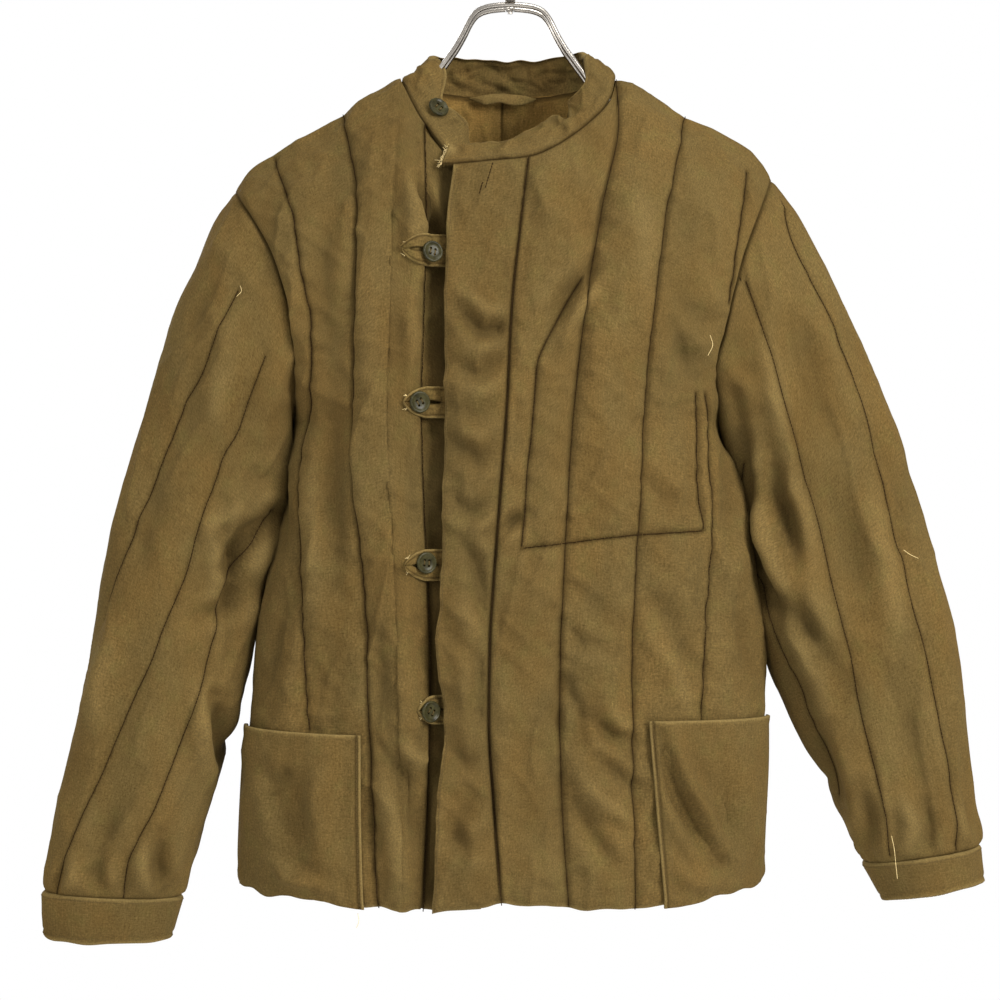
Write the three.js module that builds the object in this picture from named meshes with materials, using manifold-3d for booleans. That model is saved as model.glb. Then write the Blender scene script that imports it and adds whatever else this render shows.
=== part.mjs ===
// Quilted cotton jacket on a chromed wire hanger.
// Millimetres. +X is the wearer's left, -Y is the front and +Z is up.
// The origin is the inside top of the hanger's hook, where a rail holds it.
import * as THREE from 'three';
import { mergeVertices } from 'three/addons/utils/BufferGeometryUtils.js';
import Module from 'manifold-3d';

// ---------------------------------------------------------------- sizes

const WALL = 7; // two cloths with cotton wadding between them
const COLLAR_WALL = 5;
const CUFF_WALL = 4;
const LINING_WALL = 1.2;
const LINING_GAP = 3;
const POCKET_WALL = 1.8;
const TAB_WALL = 1.8;
const SEAM = 0.4; // each piece stops this far short of a seam
const COLLAR_SEAM = 1.3; // the neck seam turns sharply at the shoulders
const SLEEVE_SEAM = 1.7; // and along the sleeves, where the cloth turns sharply
const REST = 0.4; // a piece that lies on another is this far off it
const LOOP_INSIDE = 13; // the hanging loop, from the back's outer face
const BUTTON_OFF = 2.4; // a button's thread holds it this far off its loop

const MID_X = -5; // the body's middle: the jacket hangs a little to one side
const UNDERARM_Z = -424;
const ROWS = 20; // from the shoulder to the hem
const ARMHOLE_ROWS = 10; // of those, down to the underarm
const ROW_GRADING = 1.6; // rows crowd towards the shoulder
const PUFF = 4.5; // how far a quilted channel stands out between its lines
const LAP = 13; // how far the under front lies behind the over front
const LAP_RAMP = 22; // width over which it steps back

const NECK_BACK_Z = -137;
const NECK_OPEN = 55; // sets how far the neck hole reaches back

const BUTTON_RADIUS = 9;
const WIRE_RADIUS = 2.3;
const WIRE_APART = 12.5; // each wire from the hanger's middle plane
const HOOK_RADIUS = 20; // inside radius of the hook

// ---------------------------------------------------------------- tables

// The line over the shoulders. It runs on level across the neck hole.
const RIDGE = [
  { x: -236.5, z: -224 },
  { x: -223, z: -204.5 },
  { x: -208, z: -194 },
  { x: -150, z: -161 },
  { x: -94, z: -130 },
  { x: -50, z: -128 },
  { x: 50, z: -126 },
  { x: 91, z: -127 },
  { x: 151, z: -159 },
  { x: 187, z: -176 },
  { x: 206, z: -188 },
  { x: 225, z: -214 },
];

// How the cloth falls from that line: the part of the full depth it has reached at each drop.
const FALL = [
  { drop: 0, part: 0 },
  { drop: 5, part: 0.12 },
  { drop: 12, part: 0.215 },
  { drop: 30, part: 0.38 },
  { drop: 60, part: 0.56 },
  { drop: 100, part: 0.72 },
  { drop: 160, part: 0.86 },
  { drop: 240, part: 0.95 },
  { drop: 340, part: 1 },
];

// The body below the arms: where each side seam is, and the full depth to the front and back.
const BODY = [
  { z: -840, right: -231, left: 212, front: 98, back: 90 },
  { z: -772, right: -229, left: 215, front: 97, back: 91 },
  { z: -700, right: -225, left: 218, front: 97, back: 93 },
  { z: -643, right: -219, left: 218, front: 98, back: 94 },
  { z: -580, right: -212, left: 215, front: 98, back: 95 },
  { z: -522, right: -201, left: 207, front: 98, back: 96 },
  { z: -460, right: -188, left: 194, front: 99, back: 96 },
  { z: -424, right: -184, left: 180, front: 99, back: 96 },
  { z: -300, right: -184, left: 180, front: 99, back: 95 },
  { z: -120, right: -184, left: 180, front: 98, back: 93 },
];

// The armhole seams. frontPart and backPart are the part of the body's depth that the seam
// has at each height.
const ARMHOLE_RIGHT = [
  { z: -424, frontX: -184, frontPart: 0, backX: -184, backPart: 0 },
  { z: -404, frontX: -181, frontPart: 0.32, backX: -183, backPart: 0.3 },
  { z: -380, frontX: -180, frontPart: 0.5, backX: -184, backPart: 0.48 },
  { z: -344, frontX: -182, frontPart: 0.66, backX: -189, backPart: 0.64 },
  { z: -311, frontX: -191, frontPart: 0.74, backX: -197, backPart: 0.73 },
  { z: -281, frontX: -202, frontPart: 0.78, backX: -207, backPart: 0.78 },
  { z: -248, frontX: -221, frontPart: 0.84, backX: -222, backPart: 0.84 },
  { z: -232, frontX: -232, frontPart: 0.95, backX: -232, backPart: 0.95 },
  { z: -224, frontX: -236.5, frontPart: 1, backX: -236.5, backPart: 1 },
];
const ARMHOLE_LEFT = [
  { z: -424, frontX: 180, frontPart: 0, backX: 180, backPart: 0 },
  { z: -404, frontX: 175, frontPart: 0.34, backX: 179, backPart: 0.31 },
  { z: -378, frontX: 172, frontPart: 0.52, backX: 178, backPart: 0.49 },
  { z: -350, frontX: 180, frontPart: 0.65, backX: 184, backPart: 0.63 },
  { z: -306, frontX: 191, frontPart: 0.74, backX: 194, backPart: 0.73 },
  { z: -282, frontX: 198, frontPart: 0.77, backX: 201, backPart: 0.77 },
  { z: -241, frontX: 214, frontPart: 0.84, backX: 214, backPart: 0.84 },
  { z: -224, frontX: 221, frontPart: 0.94, backX: 221, backPart: 0.94 },
  { z: -214, frontX: 225, frontPart: 1, backX: 225, backPart: 1 },
];

// The neck seam of each front, up to the shoulder line.
const NECK_RIGHT = [
  { x: -94, z: -130 },
  { x: -76, z: -164 },
  { x: -58, z: -188 },
  { x: -46, z: -203 },
  { x: -10, z: -210 },
  { x: 10, z: -211 },
];
const NECK_LEFT = [
  { x: -60, z: -206.5 },
  { x: -48, z: -206 },
  { x: -22, z: -203.5 },
  { x: 17, z: -199.5 },
  { x: 37, z: -191 },
  { x: 69, z: -167 },
  { x: 86, z: -146 },
  { x: 91, z: -127 },
];

// Sewn lines down each front, x at each height: the free edge, the band's seam, the line below
// the neck and the line from mid shoulder. The first row is where each one starts.
const LINES_LEFT = [
  { z: 0, edge: -47.5, band: 15.5, neck: 91, shoulder: 151 },
  { z: -160, edge: -46, band: 18, neck: 92, shoulder: 149 },
  { z: -250, edge: -54, band: 9.5, neck: 76, shoulder: 131 },
  { z: -330, edge: -56, band: 1, neck: 62.5, shoulder: 120 },
  { z: -410, edge: -56, band: -3, neck: 53.5, shoulder: 113 },
  { z: -490, edge: -57.5, band: -9, neck: 47.5, shoulder: 109 },
  { z: -570, edge: -59, band: -15, neck: 43.5, shoulder: 104 },
  { z: -605, edge: -63.5, band: -17, neck: 42, shoulder: 102.5 },
  { z: -670, edge: -56.5, band: -18, neck: 41, shoulder: 102 },
  { z: -740, edge: -60.5, band: -14, neck: 43, shoulder: 102.5 },
  { z: -840, edge: -66.5, band: -6, neck: 49.5, shoulder: 105 },
];
const LINES_RIGHT = [
  { z: 0, edge: -10, band: -72, neck: -94, shoulder: -144 },
  { z: -250, edge: -14, band: -69.5, neck: -98, shoulder: -129 },
  { z: -330, edge: -16, band: -71, neck: -100, shoulder: -130 },
  { z: -410, edge: -17, band: -73, neck: -102, shoulder: -131 },
  { z: -490, edge: -18, band: -71, neck: -99, shoulder: -128 },
  { z: -570, edge: -20, band: -67.5, neck: -95, shoulder: -122 },
  { z: -650, edge: -21, band: -66, neck: -92, shoulder: -119 },
  { z: -740, edge: -21, band: -68, neck: -91, shoulder: -116 },
  { z: -840, edge: -25, band: -73, neck: -90, shoulder: -110 },
];

// Sewn lines down the back, between the two side seams.
const LINES_BACK = [
  { z: 0, right: -144, rightNeck: -94, leftNeck: 91, left: 151 },
  { z: -250, right: -132, rightNeck: -80, leftNeck: 72, left: 132 },
  { z: -410, right: -128, rightNeck: -72, leftNeck: 62, left: 118 },
  { z: -570, right: -133, rightNeck: -73, leftNeck: 60, left: 116 },
  { z: -840, right: -140, rightNeck: -78, leftNeck: 60, left: 120 },
];

// The hem's height at each line, from the free edge to the side seam.
const HEM_LEFT = { edge: -833, band: -826, neck: -828, shoulder: -831, side: -815 };
const HEM_RIGHT = { edge: -831, band: -833, neck: -831, shoulder: -830, side: -816 };
const HEM_BACK_MID = -824;

// Sleeve sections from the armhole to the wrist: the outer and inner edge, and half the
// depth and the middle front to back.
const SLEEVE_RIGHT = [
  { outX: -236.5, outZ: -224, inX: -184, inZ: -424, half: 62, midY: 0 },
  { outX: -256, outZ: -254, inX: -189.5, inZ: -437.5, half: 65, midY: 1 },
  { outX: -270, outZ: -290, inX: -189, inZ: -455, half: 67, midY: 3 },
  { outX: -284, outZ: -322, inX: -193, inZ: -478, half: 68, midY: 5 },
  { outX: -298, outZ: -364, inX: -199.5, inZ: -505, half: 67, midY: 6 },
  { outX: -311, outZ: -405, inX: -206, inZ: -535, half: 66, midY: 6 },
  { outX: -325, outZ: -452, inX: -212, inZ: -566, half: 64, midY: 5 },
  { outX: -339, outZ: -507, inX: -217.5, inZ: -598, half: 62, midY: 3 },
  { outX: -351, outZ: -562, inX: -224.5, inZ: -634, half: 60, midY: 0 },
  { outX: -361, outZ: -620, inX: -234, inZ: -674, half: 57, midY: -3 },
  { outX: -371, outZ: -672, inX: -245, inZ: -713, half: 54, midY: -6 },
  { outX: -382, outZ: -724, inX: -257, inZ: -753, half: 50, midY: -9 },
  { outX: -392, outZ: -775, inX: -270, inZ: -792, half: 45, midY: -12 },
  { outX: -398, outZ: -822, inX: -281, inZ: -827, half: 40, midY: -14 },
];
const SLEEVE_LEFT = [
  { outX: 225, outZ: -214, inX: 180, inZ: -424, half: 62, midY: 0 },
  { outX: 245, outZ: -240, inX: 185, inZ: -434, half: 65, midY: 1 },
  { outX: 265, outZ: -275, inX: 192.5, inZ: -450, half: 67, midY: 3 },
  { outX: 287, outZ: -321, inX: 200, inZ: -476, half: 68, midY: 5 },
  { outX: 305, outZ: -359, inX: 206.5, inZ: -505, half: 67, midY: 6 },
  { outX: 325, outZ: -408, inX: 212, inZ: -535, half: 66, midY: 6 },
  { outX: 340, outZ: -455, inX: 216, inZ: -565, half: 64, midY: 5 },
  { outX: 353, outZ: -497, inX: 218.5, inZ: -595, half: 62, midY: 3 },
  { outX: 367, outZ: -546, inX: 222, inZ: -630, half: 60, midY: 0 },
  { outX: 380, outZ: -595, inX: 235, inZ: -664, half: 57, midY: -3 },
  { outX: 387, outZ: -643, inX: 249, inZ: -695, half: 54, midY: -6 },
  { outX: 392, outZ: -690, inX: 266, inZ: -727, half: 50, midY: -9 },
  { outX: 397, outZ: -738, inX: 286, inZ: -762, half: 45, midY: -12 },
  { outX: 401, outZ: -783, inX: 302, inZ: -798, half: 40, midY: -14 },
];
const CUFF_RIGHT_END = { outX: -397, outZ: -861, inX: -291, inZ: -864, half: 37, midY: -15 };
const CUFF_LEFT_END = { outX: 404, outZ: -814, inX: 319, inZ: -828, half: 37, midY: -15 };

// Patch pockets: how far past the shoulder line the inner edge is at the mouth and at the hem,
// as a part of the way to the side seam, and the height of the mouth at each end.
const POCKET_LEFT = { mouth: 0.068, hem: 0.137, mouthInnerZ: -672, mouthSideZ: -672 };
const POCKET_RIGHT = { mouth: 0.035, hem: 0.058, mouthInnerZ: -684, mouthSideZ: -680 };
const POCKET_SIDE = 0.93;

// The loops that hold the buttons, from the neck down: the point, the button and the height.
const TABS = [
  { tipX: -90, tipZ: -281, buttonX: -69.5, buttonZ: -285, tall: 27 },
  { tipX: -89, tipZ: -408, buttonX: -75.5, buttonZ: -408, tall: 26 },
  { tipX: -87.5, tipZ: -543, buttonX: -70.5, buttonZ: -541, tall: 26 },
  { tipX: -77, tipZ: -663, buttonX: -66.5, buttonZ: -664, tall: 24 },
];
const TAB_ROOT = 7; // how far a loop runs in under the over front
const TAB_LIFT = { root: 1.5, tip: 2 }; // and how far it stands off the under front
const TAB_BEND = 8.5; // where it starts to lean out, from its root

// The hanger's wire, from the middle of the arch out to the shoulder.
const WIRE = [
  { x: 0, z: -65 },
  { x: 10, z: -65.5 },
  { x: 20, z: -67 },
  { x: 28, z: -70.5 },
  { x: 34, z: -78 },
  { x: 40, z: -90 },
  { x: 47, z: -102 },
  { x: 52, z: -109 },
  { x: 54, z: -117 },
  { x: 55.5, z: -126 },
  { x: 58, z: -138 },
  { x: 65, z: -147 },
  { x: 80, z: -152 },
];
const WIRE_END_X = 184;
const WIRE_UNDER = 21; // below the shoulder line

// ---------------------------------------------------------------- curves

// A smooth curve through the points (xs, ys) that never swings past them.
function through(xs, ys) {
  const n = xs.length;
  const slope = [];
  for (let i = 0; i < n - 1; i++) {
    slope.push((ys[i + 1] - ys[i]) / (xs[i + 1] - xs[i]));
  }
  const tangent = [slope[0]];
  for (let i = 1; i < n - 1; i++) {
    const same = slope[i - 1] * slope[i] > 0;
    tangent.push(same ? (2 * slope[i - 1] * slope[i]) / (slope[i - 1] + slope[i]) : 0);
  }
  tangent.push(slope[n - 2]);
  return (at) => {
    const x = Math.min(Math.max(at, xs[0]), xs[n - 1]);
    let i = 0;
    while (i < n - 2 && x > xs[i + 1]) i++;
    const span = xs[i + 1] - xs[i];
    const t = (x - xs[i]) / span;
    const u = 1 - t;
    return u * u * (1 + 2 * t) * ys[i] + t * t * (3 - 2 * t) * ys[i + 1]
      + span * t * u * (u * tangent[i] - t * tangent[i + 1]);
  };
}

// The same curve through one column of a table.
function column(table, key, name) {
  const rows = [...table].sort((a, b) => a[key] - b[key]);
  return through(rows.map((row) => row[key]), rows.map((row) => row[name]));
}

function mix(a, b, t) {
  return a + (b - a) * t;
}

function ease(t) {
  const c = Math.min(Math.max(t, 0), 1);
  return c * c * (3 - 2 * c);
}

const ridgeZ = column(RIDGE, 'x', 'z');
const fallByRoot = through(FALL.map((row) => Math.sqrt(row.drop)), FALL.map((row) => row.part));
const fullFront = column(BODY, 'z', 'front');
const fullBack = column(BODY, 'z', 'back');

// ---------------------------------------------------------------- the body's form

// Everything one side of the body needs: its seams and its sewn lines.
function makeSide(name, armhole, neck, lines, hem) {
  const body = column(BODY, 'z', name);
  const neckZ = column(neck, 'x', 'z');
  const arm = {};
  for (const key of ['frontX', 'frontPart', 'backX', 'backPart']) {
    arm[key] = column(armhole, 'z', key);
  }
  const tip = armhole[armhole.length - 1];
  return { body, arm, tip: { x: tip.frontX, z: tip.z }, neckZ, lines, hem };
}

const LEFT = makeSide('left', ARMHOLE_LEFT, NECK_LEFT, LINES_LEFT, HEM_LEFT);
const RIGHT = makeSide('right', ARMHOLE_RIGHT, NECK_RIGHT, LINES_RIGHT, HEM_RIGHT);

function sideOf(x) {
  return x > MID_X ? LEFT : RIGHT;
}

// Where the cloth ends sideways at a height: the side seam, or above it the armhole.
function sideX(side, face, z) {
  return z > UNDERARM_Z ? side.arm[`${face}X`](z) : side.body(z);
}

// How far the cloth stands from the middle plane at (x, z) on the front or the back.
function depthAt(face, x, z) {
  const side = sideOf(x);
  const across = Math.min(Math.abs((x - MID_X) / (sideX(side, face, z) - MID_X)), 1);
  const above = ease((z - UNDERARM_Z + 30) / 130);
  const round = (1 - across ** mix(2.6, 3.6, above)) ** mix(1 / 2.6, 0.8, above);
  const neckWidth = side === LEFT ? 91 : 94;
  const neckShift = face === 'back' ? NECK_OPEN * Math.max(0, 1 - (x / neckWidth) ** 2) : 0;
  const drop = Math.max(ridgeZ(x) - z + neckShift, 0);
  const full = (face === 'front' ? fullFront : fullBack)(z) * fallByRoot(Math.sqrt(drop));
  const edge = z > UNDERARM_Z ? side.arm[`${face}Part`](z) : 0;
  return full * mix(edge, 1, round);
}

// Part of the way down at each row: 0 at the shoulder, 1 at the hem.
function rowDrop(row) {
  return (row / ROWS) ** ROW_GRADING;
}

// One sewn line as a curve from its start to the hem.
function sewnLine(table, name, topZ, hemZ) {
  const [top, ...rest] = table;
  const below = rest.filter((row) => row.z < topZ - 20);
  const rows = [{ z: topZ, x: top[name] }, ...below.map((row) => ({ z: row.z, x: row[name] }))];
  const xAt = column(rows, 'z', 'x');
  return { topX: top[name], topZ, hemZ, at: (z) => xAt(z) };
}

function sideLine(side, face, hemZ) {
  return { topX: side.tip.x, topZ: side.tip.z, hemZ, at: (z) => sideX(side, face, z) };
}

// The lines of a front, from its free edge to its side seam.
function frontLines(side) {
  const lines = ['edge', 'band', 'neck', 'shoulder'].map((name) => {
    const topX = side.lines[0][name];
    const topZ = Math.abs(topX) < 90 ? side.neckZ(topX) : ridgeZ(topX);
    return sewnLine(side.lines, name, topZ, side.hem[name]);
  });
  return [...lines, sideLine(side, 'front', side.hem.side)];
}

function backLines() {
  const lines = ['right', 'rightNeck', 'leftNeck', 'left'].map((name) => {
    const topX = LINES_BACK[0][name];
    return sewnLine(LINES_BACK, name, ridgeZ(topX), HEM_BACK_MID);
  });
  return [
    sideLine(RIGHT, 'back', RIGHT.hem.side), ...lines, sideLine(LEFT, 'back', LEFT.hem.side),
  ];
}

// How far the under front steps back where the over front covers it.
const overEdge = frontLines(LEFT)[0];
function lapBack(x, z) {
  const start = overEdge.at(Math.min(z, overEdge.topZ)) - 5 - LAP_RAMP;
  return LAP * ease((x - start) / LAP_RAMP);
}

// Channels stand out between sewn lines, and die out at the shoulder, hem and free edges.
function puffAt(across, down) {
  return PUFF * Math.sin(Math.PI * across) ** 0.6 * ease(down * 9) * ease((1 - down) * 12 + 0.2);
}

// A point of a front. `place` counts lines from the free edge: 1.5 is halfway from the band's
// seam to the neck line. `down` is 0 at the top and 1 at the hem.
function frontPoint(side, lines, place, down) {
  const first = Math.min(Math.floor(place), lines.length - 2);
  const part = place - first;
  const last = first === lines.length - 2;
  let across = part;
  if (first === 1) across = 1 - (1 - part) ** 2.2; // the neck seam turns fast by the shoulder
  if (last) across = Math.sin((part * Math.PI) / 2);
  const [a, b] = [lines[first], lines[first + 1]];
  const topX = mix(a.topX, b.topX, across);
  const topZ = first < 2 ? side.neckZ(topX) : ridgeZ(topX);
  const z = mix(topZ, mix(a.hemZ, b.hemZ, across), down);
  const x = mix(a.at(mix(a.topZ, a.hemZ, down)), b.at(mix(b.topZ, b.hemZ, down)), across);
  const under = side === RIGHT ? lapBack(x, z) : 0;
  const flat = side === RIGHT && first === 0; // the plain band under the lap
  const puff = flat ? 0 : puffAt(last ? part : across, down) * (last ? 0.6 : 1);
  return new THREE.Vector3(x, under - depthAt('front', x, z) - puff, z);
}

// A point of the back. `place` counts lines from the wearer's right side seam.
function backPoint(lines, place, down) {
  const first = Math.min(Math.floor(place), lines.length - 2);
  const part = place - first;
  let across = part;
  if (first === 2) across = 0.5 - 0.5 * Math.cos(part * Math.PI);
  if (first === 0) across = 1 - Math.sin(((1 - part) * Math.PI) / 2);
  if (first === lines.length - 2) across = Math.sin((part * Math.PI) / 2);
  const [a, b] = [lines[first], lines[first + 1]];
  const topX = mix(a.topX, b.topX, across);
  const scoop = Math.max(0, 1 - Math.abs((topX - MID_X) / 88) ** 3);
  const topZ = first === 2 ? mix(ridgeZ(topX), NECK_BACK_Z, scoop) : ridgeZ(topX);
  const z = mix(topZ, mix(a.hemZ, b.hemZ, across), down);
  const x = mix(a.at(mix(a.topZ, a.hemZ, down)), b.at(mix(b.topZ, b.hemZ, down)), across);
  const puff = puffAt(first === 2 ? (across * 3) % 1 : part, down) * 0.7;
  return new THREE.Vector3(x, depthAt('back', x, z) + puff, z);
}

// ---------------------------------------------------------------- grids of points

// Rows of points: point(i, j) for i up to `columns`, j up to `rows`.
function grid(columns, rows, point) {
  return Array.from({ length: rows + 1 }, (_, j) =>
    Array.from({ length: columns + 1 }, (_, i) => point(i, j)));
}

// Columns `from` to `to` of a grid.
function slice(points, from, to) {
  return points.map((row) => row.slice(from, to + 1));
}

function keyOf(p) {
  return [p.x, p.y, p.z].map((v) => Math.round(v * 1000)).join(' ');
}

// The corners of each cell, wound to face out. A closed grid's last column joins its first.
function cells(points, closed, flip) {
  const out = [];
  const width = points[0].length;
  const count = closed ? width : width - 1;
  for (let j = 0; j < points.length - 1; j++) {
    for (let i = 0; i < count; i++) {
      const n = (i + 1) % width;
      const cell = [[j, i], [j, n], [j + 1, n], [j + 1, i]];
      out.push(flip ? cell.reverse() : cell);
    }
  }
  return out;
}

// The way out of the cloth at every point, shared by all pieces that meet there.
function outwardNormals(pieces) {
  const normals = new Map();
  for (const { points, closed, flip } of pieces) {
    for (const cell of cells(points, closed, flip)) {
      const [a, b, c, d] = cell.map(([j, i]) => points[j][i]);
      const normal = new THREE.Vector3().subVectors(c, a)
        .cross(new THREE.Vector3().subVectors(d, b));
      normal.multiplyScalar(1 / Math.sqrt(normal.length())); // small cells count for less
      for (const p of [a, b, c, d]) {
        const key = keyOf(p);
        if (!normals.has(key)) normals.set(key, new THREE.Vector3());
        normals.get(key).add(normal);
      }
    }
  }
  for (const normal of normals.values()) normal.normalize();
  return smoothed(normals, pieces);
}

// The same directions, each evened out with those of the points next to it.
function smoothed(normals, pieces) {
  const sums = new Map();
  for (const [key, normal] of normals) sums.set(key, normal.clone().multiplyScalar(2));
  for (const { points, closed, flip } of pieces) {
    for (const cell of cells(points, closed, flip)) {
      const keys = cell.map(([j, i]) => keyOf(points[j][i]));
      keys.forEach((key, k) => {
        sums.get(key).add(normals.get(keys[(k + 1) % 4])).add(normals.get(keys[(k + 3) % 4]));
      });
    }
  }
  for (const sum of sums.values()) sum.normalize();
  return sums;
}

// Moves a grid's edge points in towards their neighbours, to leave room at the seams.
function drawIn(points, closed, seam) {
  const last = points.length - 1;
  const end = points[0].length - 1;
  return points.map((row, j) => row.map((p, i) => {
    const moved = p.clone();
    const towards = (q) => moved.add(q.clone().sub(p).setLength(seam));
    if (j === 0) towards(points[1][i]);
    if (j === last) towards(points[last - 1][i]);
    if (!closed && i === 0) towards(row[1]);
    if (!closed && i === end) towards(row[end - 1]);
    return moved;
  }));
}

// One closed wall between two grids of the same size.
function wallGeometry(outer, inner, closed, flip) {
  const width = outer[0].length;
  const height = outer.length;
  const positions = [...outer.flat(), ...inner.flat()].flatMap((p) => [p.x, p.y, p.z]);
  const id = (layer, j, i) => layer * width * height + j * width + (i % width);
  const index = [];
  const quad = (a, b, c, d) => index.push(a, b, c, a, c, d);
  for (const cell of cells(outer, closed, flip)) {
    quad(...cell.map(([j, i]) => id(0, j, i)));
    quad(...cell.map(([j, i]) => id(1, j, i)).reverse());
  }
  const edge = (a, b) => {
    const [p, q] = flip ? [b, a] : [a, b];
    quad(id(0, ...q), id(0, ...p), id(1, ...p), id(1, ...q));
  };
  const count = closed ? width : width - 1;
  for (let i = 0; i < count; i++) {
    edge([0, i], [0, i + 1]);
    edge([height - 1, i + 1], [height - 1, i]);
  }
  for (let j = 0; j < height - 1 && !closed; j++) {
    edge([j + 1, 0], [j, 0]);
    edge([j, width - 1], [j + 1, width - 1]);
  }
  const geometry = new THREE.BufferGeometry();
  geometry.setAttribute('position', new THREE.Float32BufferAttribute(positions, 3));
  geometry.setIndex(index);
  return geometry;
}

// The cloth of one piece, its outer face on the points and its inner face `wall` behind.
function clothGeometry(piece, normals) {
  const inner = piece.points.map((row) => row.map((p) =>
    p.clone().addScaledVector(normals.get(keyOf(p)), -piece.wall)));
  const [face, lining] = [piece.points, inner].map((points) =>
    drawIn(points, piece.closed, piece.seam ?? SEAM));
  return wallGeometry(face, lining, piece.closed, piece.flip);
}

// A flat piece on a panel: its points are the panel's, moved out by `near` and by `far`.
function liedOn(columns, rows, pointAt, facing, near, far) {
  const step = 0.01;
  const lifted = (lift) => grid(columns, rows, (i, j) => {
    const [u, v] = [i / columns, j / rows];
    const [u0, u1] = [Math.max(u - step, 0), Math.min(u + step, 1)];
    const [v0, v1] = [Math.max(v - step, 0), Math.min(v + step, 1)];
    const across = pointAt(u1, v).sub(pointAt(u0, v));
    const down = pointAt(u, v1).sub(pointAt(u, v0));
    const normal = across.cross(down).normalize();
    if (normal.dot(facing) < 0) normal.negate();
    return pointAt(u, v).addScaledVector(normal, lift);
  });
  const [outer, inner] = [lifted(far), lifted(near)];
  const diagonal = new THREE.Vector3().subVectors(outer[1][1], outer[0][0])
    .cross(new THREE.Vector3().subVectors(outer[1][0], outer[0][1]));
  return wallGeometry(outer, inner, false, diagonal.dot(facing) < 0);
}

// ---------------------------------------------------------------- the body and the collar

const FRONT_STEPS_LEFT = [0, 3, 7, 10, 15]; // grid columns at each sewn line
const FRONT_STEPS_RIGHT = [0, 3, 6, 9, 14];
const BACK_STEPS = [0, 5, 8, 18, 21, 26];

// The line count at a grid column, such as 1.5 halfway between the second and third lines.
function placeAt(steps, index) {
  let first = 0;
  while (first < steps.length - 2 && index >= steps[first + 1]) first++;
  return first + (index - steps[first]) / (steps[first + 1] - steps[first]);
}

const linesLeft = frontLines(LEFT);
const linesRight = frontLines(RIGHT);
const linesBack = backLines();

const frontLeft = grid(FRONT_STEPS_LEFT.at(-1), ROWS, (i, j) =>
  frontPoint(LEFT, linesLeft, placeAt(FRONT_STEPS_LEFT, i), rowDrop(j)));
const frontRight = grid(FRONT_STEPS_RIGHT.at(-1), ROWS, (i, j) =>
  frontPoint(RIGHT, linesRight, placeAt(FRONT_STEPS_RIGHT, i), rowDrop(j)));
const back = grid(BACK_STEPS.at(-1), ROWS, (i, j) =>
  backPoint(linesBack, placeAt(BACK_STEPS, i), rowDrop(j)));

// The neck seam, from the under front's edge round the back to the over front's edge.
const neckSeam = [
  ...frontRight[0].slice(0, FRONT_STEPS_RIGHT[2]),
  ...back[0].slice(BACK_STEPS[2], BACK_STEPS[3] + 1),
  ...frontLeft[0].slice(0, FRONT_STEPS_LEFT[2]).reverse(),
];

// The collar leans in round the front and sides, and stands up at the back.
const COLLAR_ROWS = 3;
const COLLAR_LEAN = { front: 28, back: 9 };
const COLLAR_RISE = { front: 19, back: 33 };
const NECK_HALF = { x: 92, y: 55 };
const collar = grid(neckSeam.length - 1, COLLAR_ROWS, (i, j) => {
  const base = neckSeam[i];
  const up = j / COLLAR_ROWS;
  const behind = ease((base.y + 5) / 55);
  const inward = new THREE.Vector3(
    -((base.x / NECK_HALF.x) ** 3), -(base.y + 8) / NECK_HALF.y, 0).normalize();
  return base.clone()
    .addScaledVector(inward, mix(COLLAR_LEAN.front, COLLAR_LEAN.back, behind) * up)
    .add(new THREE.Vector3(0, 0, mix(COLLAR_RISE.front, COLLAR_RISE.back, behind) * up ** 0.9));
}).reverse();

// ---------------------------------------------------------------- the sleeves

// The armhole seam: down the front from the shoulder and up the back.
function armholeLoop(frontGrid, backGrid, backColumn) {
  const down = frontGrid.slice(0, ARMHOLE_ROWS + 1).map((row) => row.at(-1));
  const up = backGrid.slice(1, ARMHOLE_ROWS).map((row) => row.at(backColumn)).reverse();
  return [...down, ...up];
}

// One point round a sleeve section. `turn` is 0 at the outer edge and pi at the inner edge.
function sectionPoint(row, turn) {
  const out = new THREE.Vector3(row.outX, row.midY, row.outZ);
  const inn = new THREE.Vector3(row.inX, row.midY, row.inZ);
  const power = 2 / 2.25;
  const along = Math.cos(turn);
  const depth = Math.sin(turn);
  const part = 0.5 - 0.5 * Math.sign(along) * Math.abs(along) ** power;
  const point = out.lerp(inn, part);
  point.y -= Math.sign(depth) * Math.abs(depth) ** power * row.half;
  return point;
}

// How much of the armhole's own shape each section keeps.
const ARMHOLE_KEPT = [1, 0.72, 0.46, 0.25, 0.1];

function sleeveGrid(loop, sections) {
  const half = ARMHOLE_ROWS;
  const runs = [0];
  for (let i = 1; i <= half; i++) runs.push(runs[i - 1] + loop[i].distanceTo(loop[i - 1]));
  const turnAt = (i, even) => {
    const k = i <= half ? i : 2 * half - i;
    const turn = Math.PI * mix(runs[k] / runs[half], k / half, even);
    return i <= half ? turn : -turn;
  };
  return grid(loop.length - 1, sections.length - 1, (i, j) => {
    const kept = ARMHOLE_KEPT[j] ?? 0;
    const point = sectionPoint(sections[j], turnAt(i, Math.min(j / 5, 1)));
    const off = loop[i].clone().sub(sectionPoint(sections[0], turnAt(i, 0)));
    return point.addScaledVector(off, kept);
  });
}

function cuffGrid(sleeve, section, end) {
  const count = sleeve[0].length;
  const foot = Array.from({ length: count }, (_, i) =>
    sectionPoint(end, (2 * Math.PI * i) / count));
  const top = sleeve.at(-1);
  const middle = top.map((p, i) => p.clone().lerp(foot[i], 0.5));
  return [top, middle, foot];
}

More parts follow.
